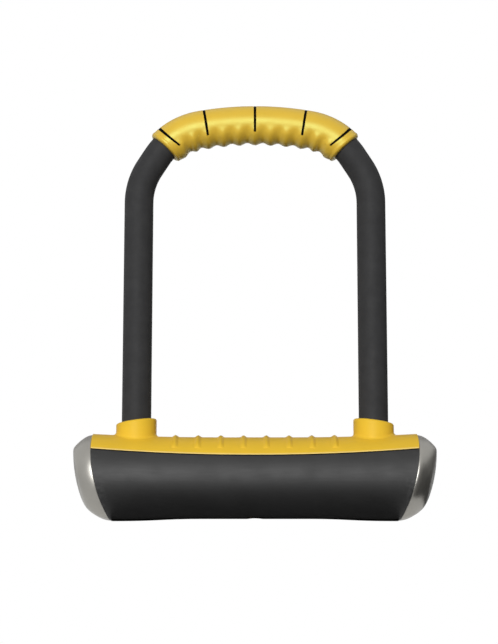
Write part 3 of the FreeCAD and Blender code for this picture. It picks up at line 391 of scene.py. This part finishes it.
# %% Build the edge group
edge, given, result = new_group(
    "edge_wear", [("Start", FLOAT, 0.53), ("Break Scale", FLOAT, 400.0)], [("Mask", FLOAT)])
shape = add_node(edge, "ShaderNodeNewGeometry")
limit = add_node(edge, "ShaderNodeMath", {1: 0.06}, operation="ADD")
edge.links.new(given.outputs["Start"], limit.inputs[0])
rim = add_node(edge, "ShaderNodeMapRange")
edge.links.new(shape.outputs["Pointiness"], rim.inputs["Value"])
edge.links.new(given.outputs["Start"], rim.inputs["From Min"])
edge.links.new(limit.outputs[0], rim.inputs["From Max"])
place = add_node(edge, "ShaderNodeTexCoord")
chips = add_node(edge, "ShaderNodeTexNoise", {"Detail": 4.0})
edge.links.new(place.outputs["Object"], chips.inputs["Vector"])
edge.links.new(given.outputs["Break Scale"], chips.inputs["Scale"])
broken = add_node(edge, "ShaderNodeMapRange", {"From Min": 0.42, "From Max": 0.62})
edge.links.new(chips.outputs[0], broken.inputs["Value"])
mask = add_node(edge, "ShaderNodeMath", operation="MULTIPLY")
edge.links.new(rim.outputs["Result"], mask.inputs[0])
edge.links.new(broken.outputs["Result"], mask.inputs[1])
edge.links.new(mask.outputs[0], result.inputs["Mask"])
print("group", edge.name)

# %% [markdown]
# ## Finish helper
#
# Eleven finishes share one recipe. The colour goes through the tone group, a second colour shows
# where the edge mask is white, the roughness comes from the handling group, and the grain feeds a
# Bump node. Metallic, specular level and tint are the same all over a piece, so they are set on
# the shader's own sockets.

# %% Helper for one finish
def place_group(tree, group, inputs):
    node = add_node(tree, "ShaderNodeGroup", node_tree=group)
    for key, value in inputs.items():
        node.inputs[key].default_value = value
    return node


def finish(name, colour, worn, drift, rough, grained, wear=0.54, **sockets):
    """Material from drift (scale, amount), rough (polished, dull, scale) and grained
    (pit scale, fine scale, fine share, depth in metres)."""
    material, tree = new_material(name)
    shader = add_node(tree, "ShaderNodeBsdfPrincipled",
                      {key.replace("_", " "): value for key, value in sockets.items()})
    tinted = place_group(tree, tone, {"Colour": (*colour, 1.0), "Scale": drift[0],
                                      "Amount": drift[1]})
    edges = place_group(tree, edge, {"Start": wear})
    paint = add_node(tree, "ShaderNodeMix", data_type="RGBA")
    paint.inputs[7].default_value = (*worn, 1.0)
    tree.links.new(edges.outputs["Mask"], paint.inputs[0])
    tree.links.new(tinted.outputs["Colour"], paint.inputs[6])
    tree.links.new(paint.outputs[2], shader.inputs["Base Color"])
    marks = place_group(tree, handling,
                        {"Polished": rough[0], "Dull": rough[1], "Patch Scale": rough[2]})
    tree.links.new(marks.outputs["Roughness"], shader.inputs["Roughness"])
    texture = place_group(tree, grain, {"Pit Scale": grained[0], "Fine Scale": grained[1],
                                        "Fine Share": grained[2]})
    bump = add_node(tree, "ShaderNodeBump", {"Strength": 1.0, "Distance": grained[3]})
    tree.links.new(texture.outputs["Height"], bump.inputs["Height"])
    tree.links.new(bump.outputs["Normal"], shader.inputs["Normal"])
    close_material(tree, shader)
    return material


finishes = {}

# %% [markdown]
# ### Black shell and black coat
#
# The shell is a stiff moulding with a satin mould texture. Its highlight is broad and soft, which
# asks for a high roughness. The vinyl coat on the legs was dipped, so it has no pits, only the
# slow waves of a poured skin, and it hardly shines at all.

# %% Black finishes
finishes["black_plastic"] = finish(
    "black_plastic", (0.0105, 0.0105, 0.0105), (0.03, 0.03, 0.03), (90.0, 0.18), (0.51, 0.60, 60.0),
    (1400.0, 3200.0, 0.5, 0.00002), Specular_IOR_Level=0.45)
finishes["black_vinyl"] = finish(
    "black_vinyl", (0.041, 0.041, 0.042), (0.06, 0.06, 0.06), (120.0, 0.12), (0.52, 0.66, 80.0),
    (500.0, 1800.0, 0.6, 0.00003), Specular_IOR_Level=0.08)
finishes["black_rubber"] = finish(
    "black_rubber", (0.003, 0.003, 0.0025), (0.01, 0.01, 0.01), (150.0, 0.2), (0.6, 0.75, 90.0),
    (1200.0, 2600.0, 0.5, 0.00002), Specular_IOR_Level=0.02)
print("black finishes", sorted(finishes))

# %% [markdown]
# ### Yellow cover and yellow grip
#
# The cover is the same stiff plastic in a warm yellow. The grip is a soft rubber of nearly the same
# shade with a waxy sheen: its highlight leans towards lemon, which a tint on the specular
# reflection gives. The third one is the cover's plastic painted paler and made smoother, a painted
# highlight for the bright line along the cover's lower edge.

# %% Yellow finishes
finishes["yellow_plastic"] = finish(
    "yellow_plastic", (0.88, 0.56, 0.043), (1.0, 0.80, 0.30), (70.0, 0.03), (0.38, 0.48, 70.0),
    (1400.0, 3200.0, 0.5, 0.000015), wear=0.62, Specular_IOR_Level=0.16,
    Specular_Tint=(1.0, 0.9, 0.6, 1.0))
finishes["yellow_rubber"] = finish(
    "yellow_rubber", (0.78, 0.49, 0.046), (0.86, 0.62, 0.12), (80.0, 0.03), (0.34, 0.44, 80.0),
    (900.0, 2400.0, 0.5, 0.00002), wear=0.6, Specular_IOR_Level=0.9,
    Specular_Tint=(0.6, 1.0, 0.4, 1.0))
# Painted highlight: a paler yellow for the cover's edge lip, in place of the light's reflection there
finishes["painted_highlight_yellow"] = finish(
    "painted_highlight_yellow", (1.0, 0.70, 0.16), (1.0, 0.84, 0.42), (90.0, 0.05), (0.28, 0.40, 90.0),
    (1400.0, 3200.0, 0.5, 0.00001), wear=0.6, Specular_IOR_Level=0.4)
print("yellow finishes", sum("yellow" in name for name in finishes))

# %% [markdown]
# ### Metals
#
# The caps are die castings under satin nickel, so their reflections are soft and a little warm.
# Zinc-plated steel is brighter, the hardened bar is dark and oily, and the cylinder is turned
# brass. Metals get their look from roughness more than from colour.

# %% Metal finishes
finishes["satin_nickel"] = finish(
    "satin_nickel", (0.32, 0.31, 0.285), (0.5, 0.49, 0.46), (60.0, 0.05), (0.33, 0.40, 90.0),
    (2200.0, 4200.0, 0.7, 0.000008), Metallic=1.0)
finishes["plated_steel"] = finish(
    "plated_steel", (0.52, 0.53, 0.54), (0.7, 0.7, 0.7), (90.0, 0.08), (0.2, 0.36, 120.0),
    (1800.0, 3600.0, 0.7, 0.000006), Metallic=1.0)
finishes["hardened_steel"] = finish(
    "hardened_steel", (0.20, 0.20, 0.205), (0.4, 0.4, 0.4), (110.0, 0.12), (0.28, 0.45, 110.0),
    (1500.0, 3000.0, 0.7, 0.00001), Metallic=1.0)
finishes["brass"] = finish(
    "brass", (0.68, 0.46, 0.17), (0.85, 0.68, 0.35), (100.0, 0.08), (0.22, 0.38, 120.0),
    (1800.0, 3600.0, 0.7, 0.000006), Metallic=1.0)
finishes["grey_acetal"] = finish(
    "grey_acetal", (0.2, 0.2, 0.205), (0.3, 0.3, 0.3), (100.0, 0.08), (0.42, 0.55, 90.0),
    (1200.0, 2600.0, 0.5, 0.00001), Specular_IOR_Level=0.4)
print("all finishes", len(finishes))

# %% [markdown]
# ## Dress the CAD nodes
#
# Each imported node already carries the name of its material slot. Swapping the material by that
# name dresses all thirty nodes in one pass, including the ones inside the crossbar.

# %% Swap the materials
for node in cad_nodes.values():
    for index, old in enumerate(node.data.materials):
        node.data.materials[index] = finishes[old.name.split(".")[0]]
print("dressed", len(cad_nodes), "nodes")

# %% [markdown]
# ## A loft for every made piece
#
# The pieces that follow are all skins through a row of rings, like ribs in a boat. Building them
# ring by ring gives full control over where points sit, so a narrow groove can have its own close
# rings while a straight leg needs only a few.

# %% Helper that skins rings
def skin(name, rings, slot, body, closed=False, tips=()):
    """Mesh through rings of equal length. closed joins the last ring to the first; tips are
    points that close the first and the last ring."""
    mesh = bmesh.new()
    rows = [[mesh.verts.new(point) for point in ring] for ring in rings]
    pairs = list(zip(rows, rows[1:] + rows[:1])) if closed else list(zip(rows, rows[1:]))
    for low, high in pairs:
        for i in range(len(low)):
            mesh.faces.new((low[i - 1], low[i], high[i], high[i - 1]))
    for row, tip in zip((rows[0], rows[-1]), tips):
        middle = mesh.verts.new(tip)
        for i in range(len(row)):
            mesh.faces.new((row[i - 1], row[i], middle))
    bmesh.ops.recalc_face_normals(mesh, faces=mesh.faces)
    data = bpy.data.meshes.new(name)
    mesh.to_mesh(data)
    mesh.free()
    data.shade_smooth()
    data.set_sharp_from_angle(angle=math.radians(50))
    data.materials.append(finishes[slot])
    piece = bpy.data.objects.new(name, data)
    bpy.context.scene.collection.objects.link(piece)
    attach(piece, body)
    return piece


# %% [markdown]
# ## The line of the shackle
#
# Sleeve, grip and inlays all follow the bar, so its centreline comes first. It goes up the leg,
# round a first bend, along a short straight, round a tighter corner and over a shallow arc. Walking
# it from the leg's end, part by part, is simpler than solving for each centre. The legs' place and
# the lower end come from the imported sleeve, and the height of the crown is printed beside the
# sleeve's.

# %% Measure the shackle
SLEEVE_RADIUS = 0.008
STRAIGHT_TOP_Z = 0.1757
SHOULDER_RADIUS, SHOULDER_TURN = 0.0371, math.radians(32.6)
SHOULDER_RUN = 0.0078
CORNER_RADIUS, CORNER_TURN = 0.0359, math.radians(47.2)

sleeve_low, sleeve_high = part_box("shackle_sleeve")
leg_x = sleeve_high.x - SLEEVE_RADIUS
leg_end_z = sleeve_low.z
leg_run = STRAIGHT_TOP_Z - leg_end_z
LINE_PARTS = [(leg_run, None), (SHOULDER_RADIUS * SHOULDER_TURN, SHOULDER_RADIUS),
              (SHOULDER_RUN, None), (CORNER_RADIUS * CORNER_TURN, CORNER_RADIUS)]


def walk(distance, parts):
    """Point and outward direction on the right half, this far up from the leg's end."""
    x, z, lean = leg_x, leg_end_z, 0.0
    for length, radius in parts:
        step = min(distance, length)
        distance -= step
        if radius is None:
            x -= step * math.sin(lean)
            z += step * math.cos(lean)
        else:
            turned = lean + step / radius
            x -= radius * (math.cos(lean) - math.cos(turned))
            z += radius * (math.sin(turned) - math.sin(lean))
            lean = turned
    return Vector((x, 0.0, z)), Vector((math.cos(lean), 0.0, math.sin(lean)))


corner_end, corner_out = walk(math.inf, LINE_PARTS)
crown_radius = corner_end.x / corner_out.x
crown_half = crown_radius * math.acos(corner_out.z)
LINE_PARTS.append((crown_half, crown_radius))
half_line = sum(length for length, radius in LINE_PARTS)
crown_point = walk(half_line, LINE_PARTS)[0]
print("crown at", round(crown_point.z, 5),
      "and the sleeve says", round(sleeve_high.z - SLEEVE_RADIUS, 5))


# %% Rings round the line
def line_point(station, angle, radius, drop=0.0):
    """Point on a ring: station is the distance from the middle of the crown, angle 0 is outward
    and a quarter turn is the front; drop moves the ring's centre towards the opening."""
    centre, out = walk(half_line - abs(station), LINE_PARTS)
    point = centre + out * (radius * math.cos(angle) - drop)
    return Vector((math.copysign(1.0, station) * point.x, -radius * math.sin(angle), point.z))


def around(count):
    return [2 * math.pi * i / count for i in range(count)]


# %% [markdown]
# ## Vinyl sleeve
#
# A dipped coat is one smooth skin with soft ends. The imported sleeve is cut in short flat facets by
# the export, which shows on its round outline, so it is drawn again with 72 points to a ring and
# rings every millimetre and a half round the bends. It keeps its wall, so that its open ends show
# a thickness, and the lip at each end is rounded.

# %% Make the sleeve
SLEEVE_BORE = 0.00702
SLEEVE_LIP = 0.0003
SLEEVE_POINTS = 72
BEND_STEP = 0.0015
LEG_STEP = 0.012

bends_half = half_line - leg_run
bend_count = round(bends_half / BEND_STEP)
leg_count = round(leg_run / LEG_STEP)
stations = [bends_half * i / bend_count for i in range(bend_count)]
stations += [bends_half + (leg_run - 2 * SLEEVE_LIP) * i / leg_count
             for i in range(leg_count + 1)]
stations = [-station for station in reversed(stations[1:])] + stations
outside = [(station, SLEEVE_RADIUS) for station in stations]
end_lip = [(half_line - SLEEVE_LIP * (1 - math.sin(turn)),
            SLEEVE_RADIUS - SLEEVE_LIP * (1 - math.cos(turn)))
           for turn in (math.radians(a) for a in (30, 60, 90))]
inside = [(station, SLEEVE_BORE) for station in reversed(stations)]
profile = outside + end_lip + inside + [(-station, radius) for station, radius in reversed(end_lip)]
sleeve = skin("vinyl_sleeve",
              [[line_point(station, angle, radius) for angle in around(SLEEVE_POINTS)]
               for station, radius in profile],
              "black_vinyl", "shackle", closed=True)
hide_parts("shackle_sleeve")
print("sleeve", len(sleeve.data.polygons), "faces")

# %% [markdown]
# ## Rubber grip
#
# The grip is one soft moulding round the crown. Its top is smooth, and its underside swells into a
# row of rounded finger ridges that fade out up the front and back. A band with a fine groove
# finishes each end, and five thin channels take the black inlays. The two outer channels lean,
# so the rings there lean with them.

# %% Shape of the grip
GRIP_RADIUS = 0.0104
GRIP_DROP = 0.0004
GRIP_END_LEAN = math.radians(42.0)
RIDGE_PITCH = 0.0092
RIDGE_MEAN, RIDGE_SWING = 0.00042, 0.00066
RIDGE_FROM, RIDGE_RAMP = 12.0, 30.0    # degrees below the level of the bar's middle
RIDGES_EACH_WAY = 5
FADE_FROM_END, FADE_RUN = 0.001, 0.009
LIP_WIDTH = 0.0030
LIP_RISE = 0.00012
LIP_START, LIP_RAMP = 0.0001, 0.0004
LIP_GROOVE = 0.00012
GROOVE_PLACE, GROOVE_WIDTH = 0.0003, 0.00022
END_ROUND = 0.0018

grip_half = crown_half + CORNER_RADIUS * (math.acos(corner_out.x) - GRIP_END_LEAN)
print("grip is", round(2000 * grip_half, 1), "mm long")


def ease(value):
    value = min(1.0, max(0.0, value))
    return value * value * (3 - 2 * value)


def grip_radius(station, angle):
    """Radius of the grip before its channels are cut."""
    below = math.degrees(abs(angle)) - 90
    under = ease((below - RIDGE_FROM) / RIDGE_RAMP)
    run = abs(station)
    on_ridges = run < RIDGES_EACH_WAY * RIDGE_PITCH
    wave = math.cos(2 * math.pi * run / RIDGE_PITCH) if on_ridges else 1.0
    fade = ease((grip_half - FADE_FROM_END - run) / FADE_RUN)
    radius = GRIP_RADIUS + under * fade * (RIDGE_MEAN + RIDGE_SWING * wave)
    into_lip = run - (grip_half - LIP_WIDTH)
    radius += LIP_RISE * ease((into_lip + LIP_START) / LIP_RAMP)
    groove = math.exp(-((into_lip + GROOVE_PLACE) / GROOVE_WIDTH) ** 2)
    radius -= LIP_GROOVE * (1 - under) * groove
    past = run - (grip_half - END_ROUND)
    if past > 0:
        radius -= END_ROUND - math.sqrt(max(0.0, END_ROUND ** 2 - past ** 2))
    return radius


# %% Channels of the grip
OUTER_INLAY = 0.0475
INLAY_STATIONS = (0.0, 0.0273, -0.0273, OUTER_INLAY, -OUTER_INLAY)
INLAY_HALF = 0.00065
INLAY_LEAN, INLAY_BOW = 0.0021, 0.0018
LEAN_REACH = 0.0085
INLAY_REACH = math.radians(126.0)
CHANNEL_DEPTH = 0.0009


def leaned(station, angle):
    """Where a straight ring goes, so that it lies along the leaning outer channels."""
    run = abs(station)
    reach = LEAN_REACH if run < OUTER_INLAY else grip_half - OUTER_INLAY
    share = ease(1 - abs(run - OUTER_INLAY) / reach)
    lean = INLAY_LEAN * math.cos(angle) + INLAY_BOW * math.sin(angle) ** 2
    return station + math.copysign(share * lean, station)


def channel(station, angle):
    """How deep the grip is cut at this place."""
    ends = ease((INLAY_REACH + math.radians(0.8) - abs(angle)) / math.radians(1.6))
    nearest = min(abs(station - middle) for middle in INLAY_STATIONS)
    return CHANNEL_DEPTH * ends * ease((INLAY_HALF + 0.00004 - nearest) / 0.00008)


def signed_turn(angle):
    """The same angle, but from minus to plus half a turn."""
    return angle if angle <= math.pi else angle - 2 * math.pi


def grip_point(station, angle, depth=0.0):
    turn = signed_turn(angle)
    return line_point(leaned(station, turn), turn, grip_radius(station, turn) - depth, GRIP_DROP)


# %% Make the grip
GRIP_STEP = 0.0006
GRIP_BORE = 0.00803

step_count = int(grip_half / GRIP_STEP)
stations = {round(i * GRIP_STEP, 6) for i in range(-step_count, step_count + 1)}
stations = {s for s in stations if min(abs(s - middle) for middle in INLAY_STATIONS) > 0.001}
for middle in INLAY_STATIONS:
    for off in (0.0, 0.0003, INLAY_HALF - 0.00005, INLAY_HALF, INLAY_HALF + 0.00005, 0.00085):
        stations |= {middle + off, middle - off}
for share in (0.2, 0.4, 0.6, 0.75, 0.88, 0.96, 1.0):
    edge_run = grip_half - END_ROUND * (1 - share)
    stations |= {edge_run, -edge_run}
stations = sorted(stations)
angles = sorted(around(96) + [math.copysign(INLAY_REACH, sign) % (2 * math.pi) + math.radians(off)
                              for sign in (1, -1) for off in (-0.9, 0.0, 0.9)])
outer_rings = [[grip_point(s, a, channel(s, signed_turn(a))) for a in angles] for s in stations]
bore_rings = [[line_point(s, a, GRIP_BORE) for a in angles]
              for s in (grip_half * (1 - 2 * i / 40) for i in range(41))]
grip = skin("rubber_grip", outer_rings + bore_rings, "yellow_rubber", "shackle", closed=True)
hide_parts("shackle_grip")
print("grip", len(grip.data.polygons), "faces")

# %% [markdown]
# ## Black inlays
#
# Each inlay is a thin strip pressed into its channel. It stays a hair under the yellow, so the
# joint catches a fine shadow, and its top is slightly crowned.

# %% Make the inlays
INLAY_SINK = 0.00012
INLAY_FOOT = 0.0008

inlay_profile = [(-0.0006, INLAY_FOOT), (-0.0006, INLAY_SINK + 0.0001), (-0.0005, INLAY_SINK),
                 (-0.00025, INLAY_SINK - 0.00004), (0.00025, INLAY_SINK - 0.00004),
                 (0.0005, INLAY_SINK), (0.0006, INLAY_SINK + 0.0001), (0.0006, INLAY_FOOT)]
inlay_turns = [INLAY_REACH * (0.993 - 1.986 * i / 84) for i in range(85)]
for number, middle in enumerate(sorted(INLAY_STATIONS)):
    rings = [[grip_point(middle + off, turn, depth) for off, depth in inlay_profile]
             for turn in inlay_turns]
    tips = [sum(rings[end], Vector()) / len(rings[end]) for end in (0, -1)]
    skin("grip_inlay_%d" % number, rings, "black_rubber", "shackle", tips=tips)
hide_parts("grip_inlays")

# %% [markdown]
# ## Ribs on the cover
#
# Eight short ribs cross the top of the cover and stop part of the way down its front and back.
# Their section is a soft wave that runs out into the cover on both sides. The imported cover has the
# same ribs as low swellings, and these lie over them with the right section and fading ends.

# %% Radius of the crossbar
BAR_AXIS_Z = 0.0217
BODY_RADIUS, BODY_END_RADIUS = 0.02275, 0.0246
FLARE_START_X = 0.020
COVER_PROUD = 0.00035

joint_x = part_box("top_cover")[1].x


def body_radius(x):
    """Outside of the shell here: straight in the middle, then an arc that flares to the caps."""
    rise, run = BODY_END_RADIUS - BODY_RADIUS, joint_x + 0.0004 - FLARE_START_X
    bow = (run ** 2 + rise ** 2) / (2 * rise)
    past = max(0.0, abs(x) - FLARE_START_X)
    return BODY_RADIUS + bow - math.sqrt(bow ** 2 - past ** 2)


def round_bar(x, turn, radius):
    """Point round the crossbar's axis; turn 0 is the top and a quarter turn is the front."""
    return Vector((x, -radius * math.sin(turn), BAR_AXIS_Z + radius * math.cos(turn)))


print("body radius", [round(1000 * body_radius(x), 2) for x in (0.0, 0.04, joint_x)])

# %% Make the ribs
RIB_COUNT, RIB_PITCH = 8, 0.0123
RIB_HALF, RIB_HEIGHT = 0.0022, 0.00105
RIB_SUNK = 0.0004
RIB_REACH, RIB_END = math.radians(47.0), math.radians(12.0)

rib_turns = [RIB_REACH * math.sin(math.pi / 2 * i / 24) for i in range(-24, 25)]
for number in range(RIB_COUNT):
    middle = (number - (RIB_COUNT - 1) / 2) * RIB_PITCH
    rings = []
    for turn in rib_turns:
        past = max(0.0, abs(turn) - (RIB_REACH - RIB_END)) / RIB_END
        height = RIB_HEIGHT * math.sqrt(max(0.0, 1 - past ** 2))
        top = body_radius(middle) + COVER_PROUD
        ring = [round_bar(middle + RIB_HALF * across, turn,
                          top + height * (0.5 + 0.5 * math.cos(math.pi * across)))
                for across in (1 - i / 8 for i in range(17))]
        ring += [round_bar(middle + side * RIB_HALF, turn, top - RIB_SUNK) for side in (-1, 1)]
        rings.append(ring)
    skin("cover_rib_%d" % number, rings, "yellow_plastic", "crossbar",
         tips=[sum(rings[end], Vector()) / len(rings[end]) for end in (0, -1)])
print("ribs", RIB_COUNT, "the last at", round(1000 * middle, 2), "mm")

# %% [markdown]
# ## Painted shadow strip and lip along the seam
#
# Between the cover's lower edge and the shell runs a narrow step. A thin black strip lies in it,
# a painted shadow that draws the dark line under the yellow. The cover's own edge ends in a fine
# rounded lip, painted a paler yellow as a highlight, which gives the bright line just above. Both
# are long strips on each side that follow the seam's shallow arc.

# %% Make the painted shadow strip and the lip
SEAM_MIDDLE_Z, SEAM_RISE = 0.0337, 0.0035
# Size of the black strip that paints the shadow under the cover's edge
SHADOW_STRIP_HEIGHT = 0.00055
SHADOW_STRIP_SUNK, SHADOW_STRIP_FOOT = 0.00010, 0.0006
EDGE_HALF, EDGE_PROUD = 0.0004, 0.0002
EDGE_START = 0.00005
EDGE_FOOT = 0.0004
STRIP_STEPS = 30       # on each side of the middle
STRIP_END = 0.0004     # the strips stop this far short of the caps


def along_seam(name, slot, section, look=None):
    """Strip on each side along the seam; section points are (height over the seam's edge,
    distance outside the shell). look is a finish to wear in place of the slot's own."""
    for side, word in ((1, "_front"), (-1, "_back")):
        rings = []
        for i in range(2 * STRIP_STEPS + 1):
            x = (joint_x - STRIP_END) * (i / STRIP_STEPS - 1)
            edge_z = SEAM_MIDDLE_Z + SEAM_RISE * (x / joint_x) ** 2
            ring = []
            for up, out in section:
                radius = body_radius(x) + out
                turn = math.acos((edge_z + up - BAR_AXIS_Z) / radius)
                ring.append(round_bar(x, side * turn, radius))
            rings.append(ring)
        strip = skin(name + word, rings, slot, "crossbar",
                     tips=[sum(rings[end], Vector()) / len(section) for end in (0, -1)])
        strip.data.materials[0] = finishes[look or slot]


# Painted shadow: a black strip in the seam's step draws the dark line under the cover
along_seam("seam_shadow_strip", "black_rubber",
           [(-SHADOW_STRIP_HEIGHT, -SHADOW_STRIP_SUNK), (0.0, -SHADOW_STRIP_SUNK), (0.0, -SHADOW_STRIP_FOOT),
            (-SHADOW_STRIP_HEIGHT, -SHADOW_STRIP_FOOT)])
edge_round = [(EDGE_START + EDGE_HALF * (1 - math.cos(turn)),
               COVER_PROUD + EDGE_PROUD * math.sin(turn))
              for turn in (math.pi * i / 8 for i in range(9))]
# Painted highlight: the lip wears a paler yellow that draws the bright line along the cover's edge
along_seam("cover_lip", "yellow_plastic",
           edge_round + [(EDGE_START + 2 * EDGE_HALF, COVER_PROUD - EDGE_FOOT),
                         (EDGE_START, COVER_PROUD - EDGE_FOOT)], look="painted_highlight_yellow")
print("seam strips at", round(1000 * SEAM_MIDDLE_Z, 1), "mm and up towards the caps")

# %% [markdown]
# ## End caps
#
# Each cap is a die casting. From the joint with the shell it starts level, turns over a crisp edge
# into a straight slope, and ends in a slightly domed face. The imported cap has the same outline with
# one wide roll in place of the slope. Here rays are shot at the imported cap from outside, which
# gives its shape on a regular net of points, and the net is then trimmed to the slope.

# %% Shape of the caps
JOINT_RADIUS = 0.100
JOINT_CENTRE_Z = 0.043
CAP_LEVEL = 0.0005
CAP_SOFTNESS, CAP_SOFTNESS_GAIN = 0.0009, 0.18
SLOPE_START, SLOPE_START_UP = 0.13, 0.09     # the second number is the top's share
SLOPE_CURVE, SLOPE_CURVE_UP = 45.0, 4.0
JOINT_ROUND = 0.0004

cap_data = cad_nodes["right_end_cap"].data
cap_tree = BVHTree.FromPolygons([v.co for v in cap_data.vertices],
                                [p.vertices for p in cap_data.polygons])
print("caps start at", round(1000 * joint_x, 2), "mm")


def joint_at(z):
    """Where the curved joint with the shell lies at this height."""
    return joint_x - JOINT_RADIUS + math.sqrt(JOINT_RADIUS ** 2 - (z - JOINT_CENTRE_Z) ** 2)


def cap_ray(start_x, turn, reach):
    """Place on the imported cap, as (x, distance from the bar's axis). The ray comes from outside
    and aims at the axis; turn goes round it, reach tilts from the axis to straight across."""
    target = Vector((start_x, 0.0, BAR_AXIS_Z))
    out = Vector((math.cos(reach), -math.sin(reach) * math.sin(turn),
                  math.sin(reach) * math.cos(turn)))
    place = cap_tree.ray_cast(target + out * 0.2, -out)[0]
    return place.x, math.hypot(place.y, place.z - BAR_AXIS_Z)


def joint_corner(turn):
    """Where the cap's outside meets the joint."""
    radius = 0.021
    for _ in range(6):
        x = joint_at(BAR_AXIS_Z + radius * math.cos(turn))
        radius = cap_ray(x + 0.0002, turn, math.pi / 2)[1]
    return x, radius


# %% Net of points over a cap
CAP_TURNS = 144
CAP_AIM = 0.008    # the rays aim at the axis this far inside the joint
EVENING_PASSES = 3

corners = [joint_corner(turn) for turn in around(CAP_TURNS)]
shares = [1 - 0.07 * i / 8 for i in range(1, 8)] + [0.93 - 0.36 * i / 30 for i in range(31)]
shares += [0.57 - 0.55 * i / 18 for i in range(1, 19)]
net = []
for turn, (x, radius) in zip(around(CAP_TURNS), corners):
    widest = math.atan2(radius, CAP_AIM)
    net.append([cap_ray(x - CAP_AIM, turn, widest * share) for share in shares])
print("cap net", len(net), "by", len(net[0]))


def evened(rows):
    """Average each point with its neighbours round the cap, which hides the facets."""
    result = []
    for i, row in enumerate(rows):
        before, after = rows[i - 1], rows[(i + 1) % len(rows)]
        result.append([tuple(0.5 * row[k][c] + 0.25 * (before[k][c] + after[k][c]) for c in (0, 1))
                       for k in range(len(row))])
    return result


# %% Trim the net to the slope
def softer_of(a, b, softness):
    """Smaller of two values, with the corner between them rounded."""
    mixed = min(1.0, max(0.0, 0.5 + 0.5 * (b - a) / softness))
    return b * (1 - mixed) + a * mixed - softness * mixed * (1 - mixed)


def slope_drop(run, turn):
    """How far the slope has come in after this run; it falls faster on the top than below."""
    up = math.cos(turn)
    run = max(0.0, run - CAP_LEVEL)
    steepness = SLOPE_START + SLOPE_START_UP * up
    curving = SLOPE_CURVE + SLOPE_CURVE_UP * up
    return steepness * run + curving * run ** 2


def cap_rings(side):
    rings = []
    for k in range(len(shares)):
        ring = []
        for turn, (x0, r0), row in zip(around(CAP_TURNS), corners, net):
            x, radius = row[k]
            softness = CAP_SOFTNESS + CAP_SOFTNESS_GAIN * max(0.0, x - x0)
            radius = softer_of(radius, r0 - slope_drop(x - x0, turn), softness)
            near = JOINT_ROUND - (x - x0)
            if near > 0:
                radius -= JOINT_ROUND - math.sqrt(JOINT_ROUND ** 2 - near ** 2)
            ring.append(Vector((side * x, -radius * math.sin(turn),
                                BAR_AXIS_Z + radius * math.cos(turn))))
        rings.append(ring)
    return rings


def joint_ring(side, share):
    """Ring on the hidden back of the cap, this share of the way out to the rim."""
    ring = []
    for turn, (x0, r0) in zip(around(CAP_TURNS), corners):
        radius = share * (r0 - JOINT_ROUND)
        z = BAR_AXIS_Z + radius * math.cos(turn)
        ring.append(Vector((side * joint_at(z), -radius * math.sin(turn), z)))
    return ring


for _ in range(EVENING_PASSES):
    net = evened(net)
for side, name in ((1, "right_end_cap"), (-1, "left_end_cap")):
    rings = [joint_ring(side, share) for share in (0.5, 0.9, 1.0)] + cap_rings(side)
    tips = [Vector((side * joint_at(BAR_AXIS_Z), 0.0, BAR_AXIS_Z)),
            Vector((side * cap_ray(joint_x - CAP_AIM, 0.0, 0.0)[0], 0.0, BAR_AXIS_Z))]
    cap = skin("cast_" + name, rings, "satin_nickel", "crossbar", tips=tips)
    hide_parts(name)
    print(cap.name, len(cap.data.polygons), "faces")
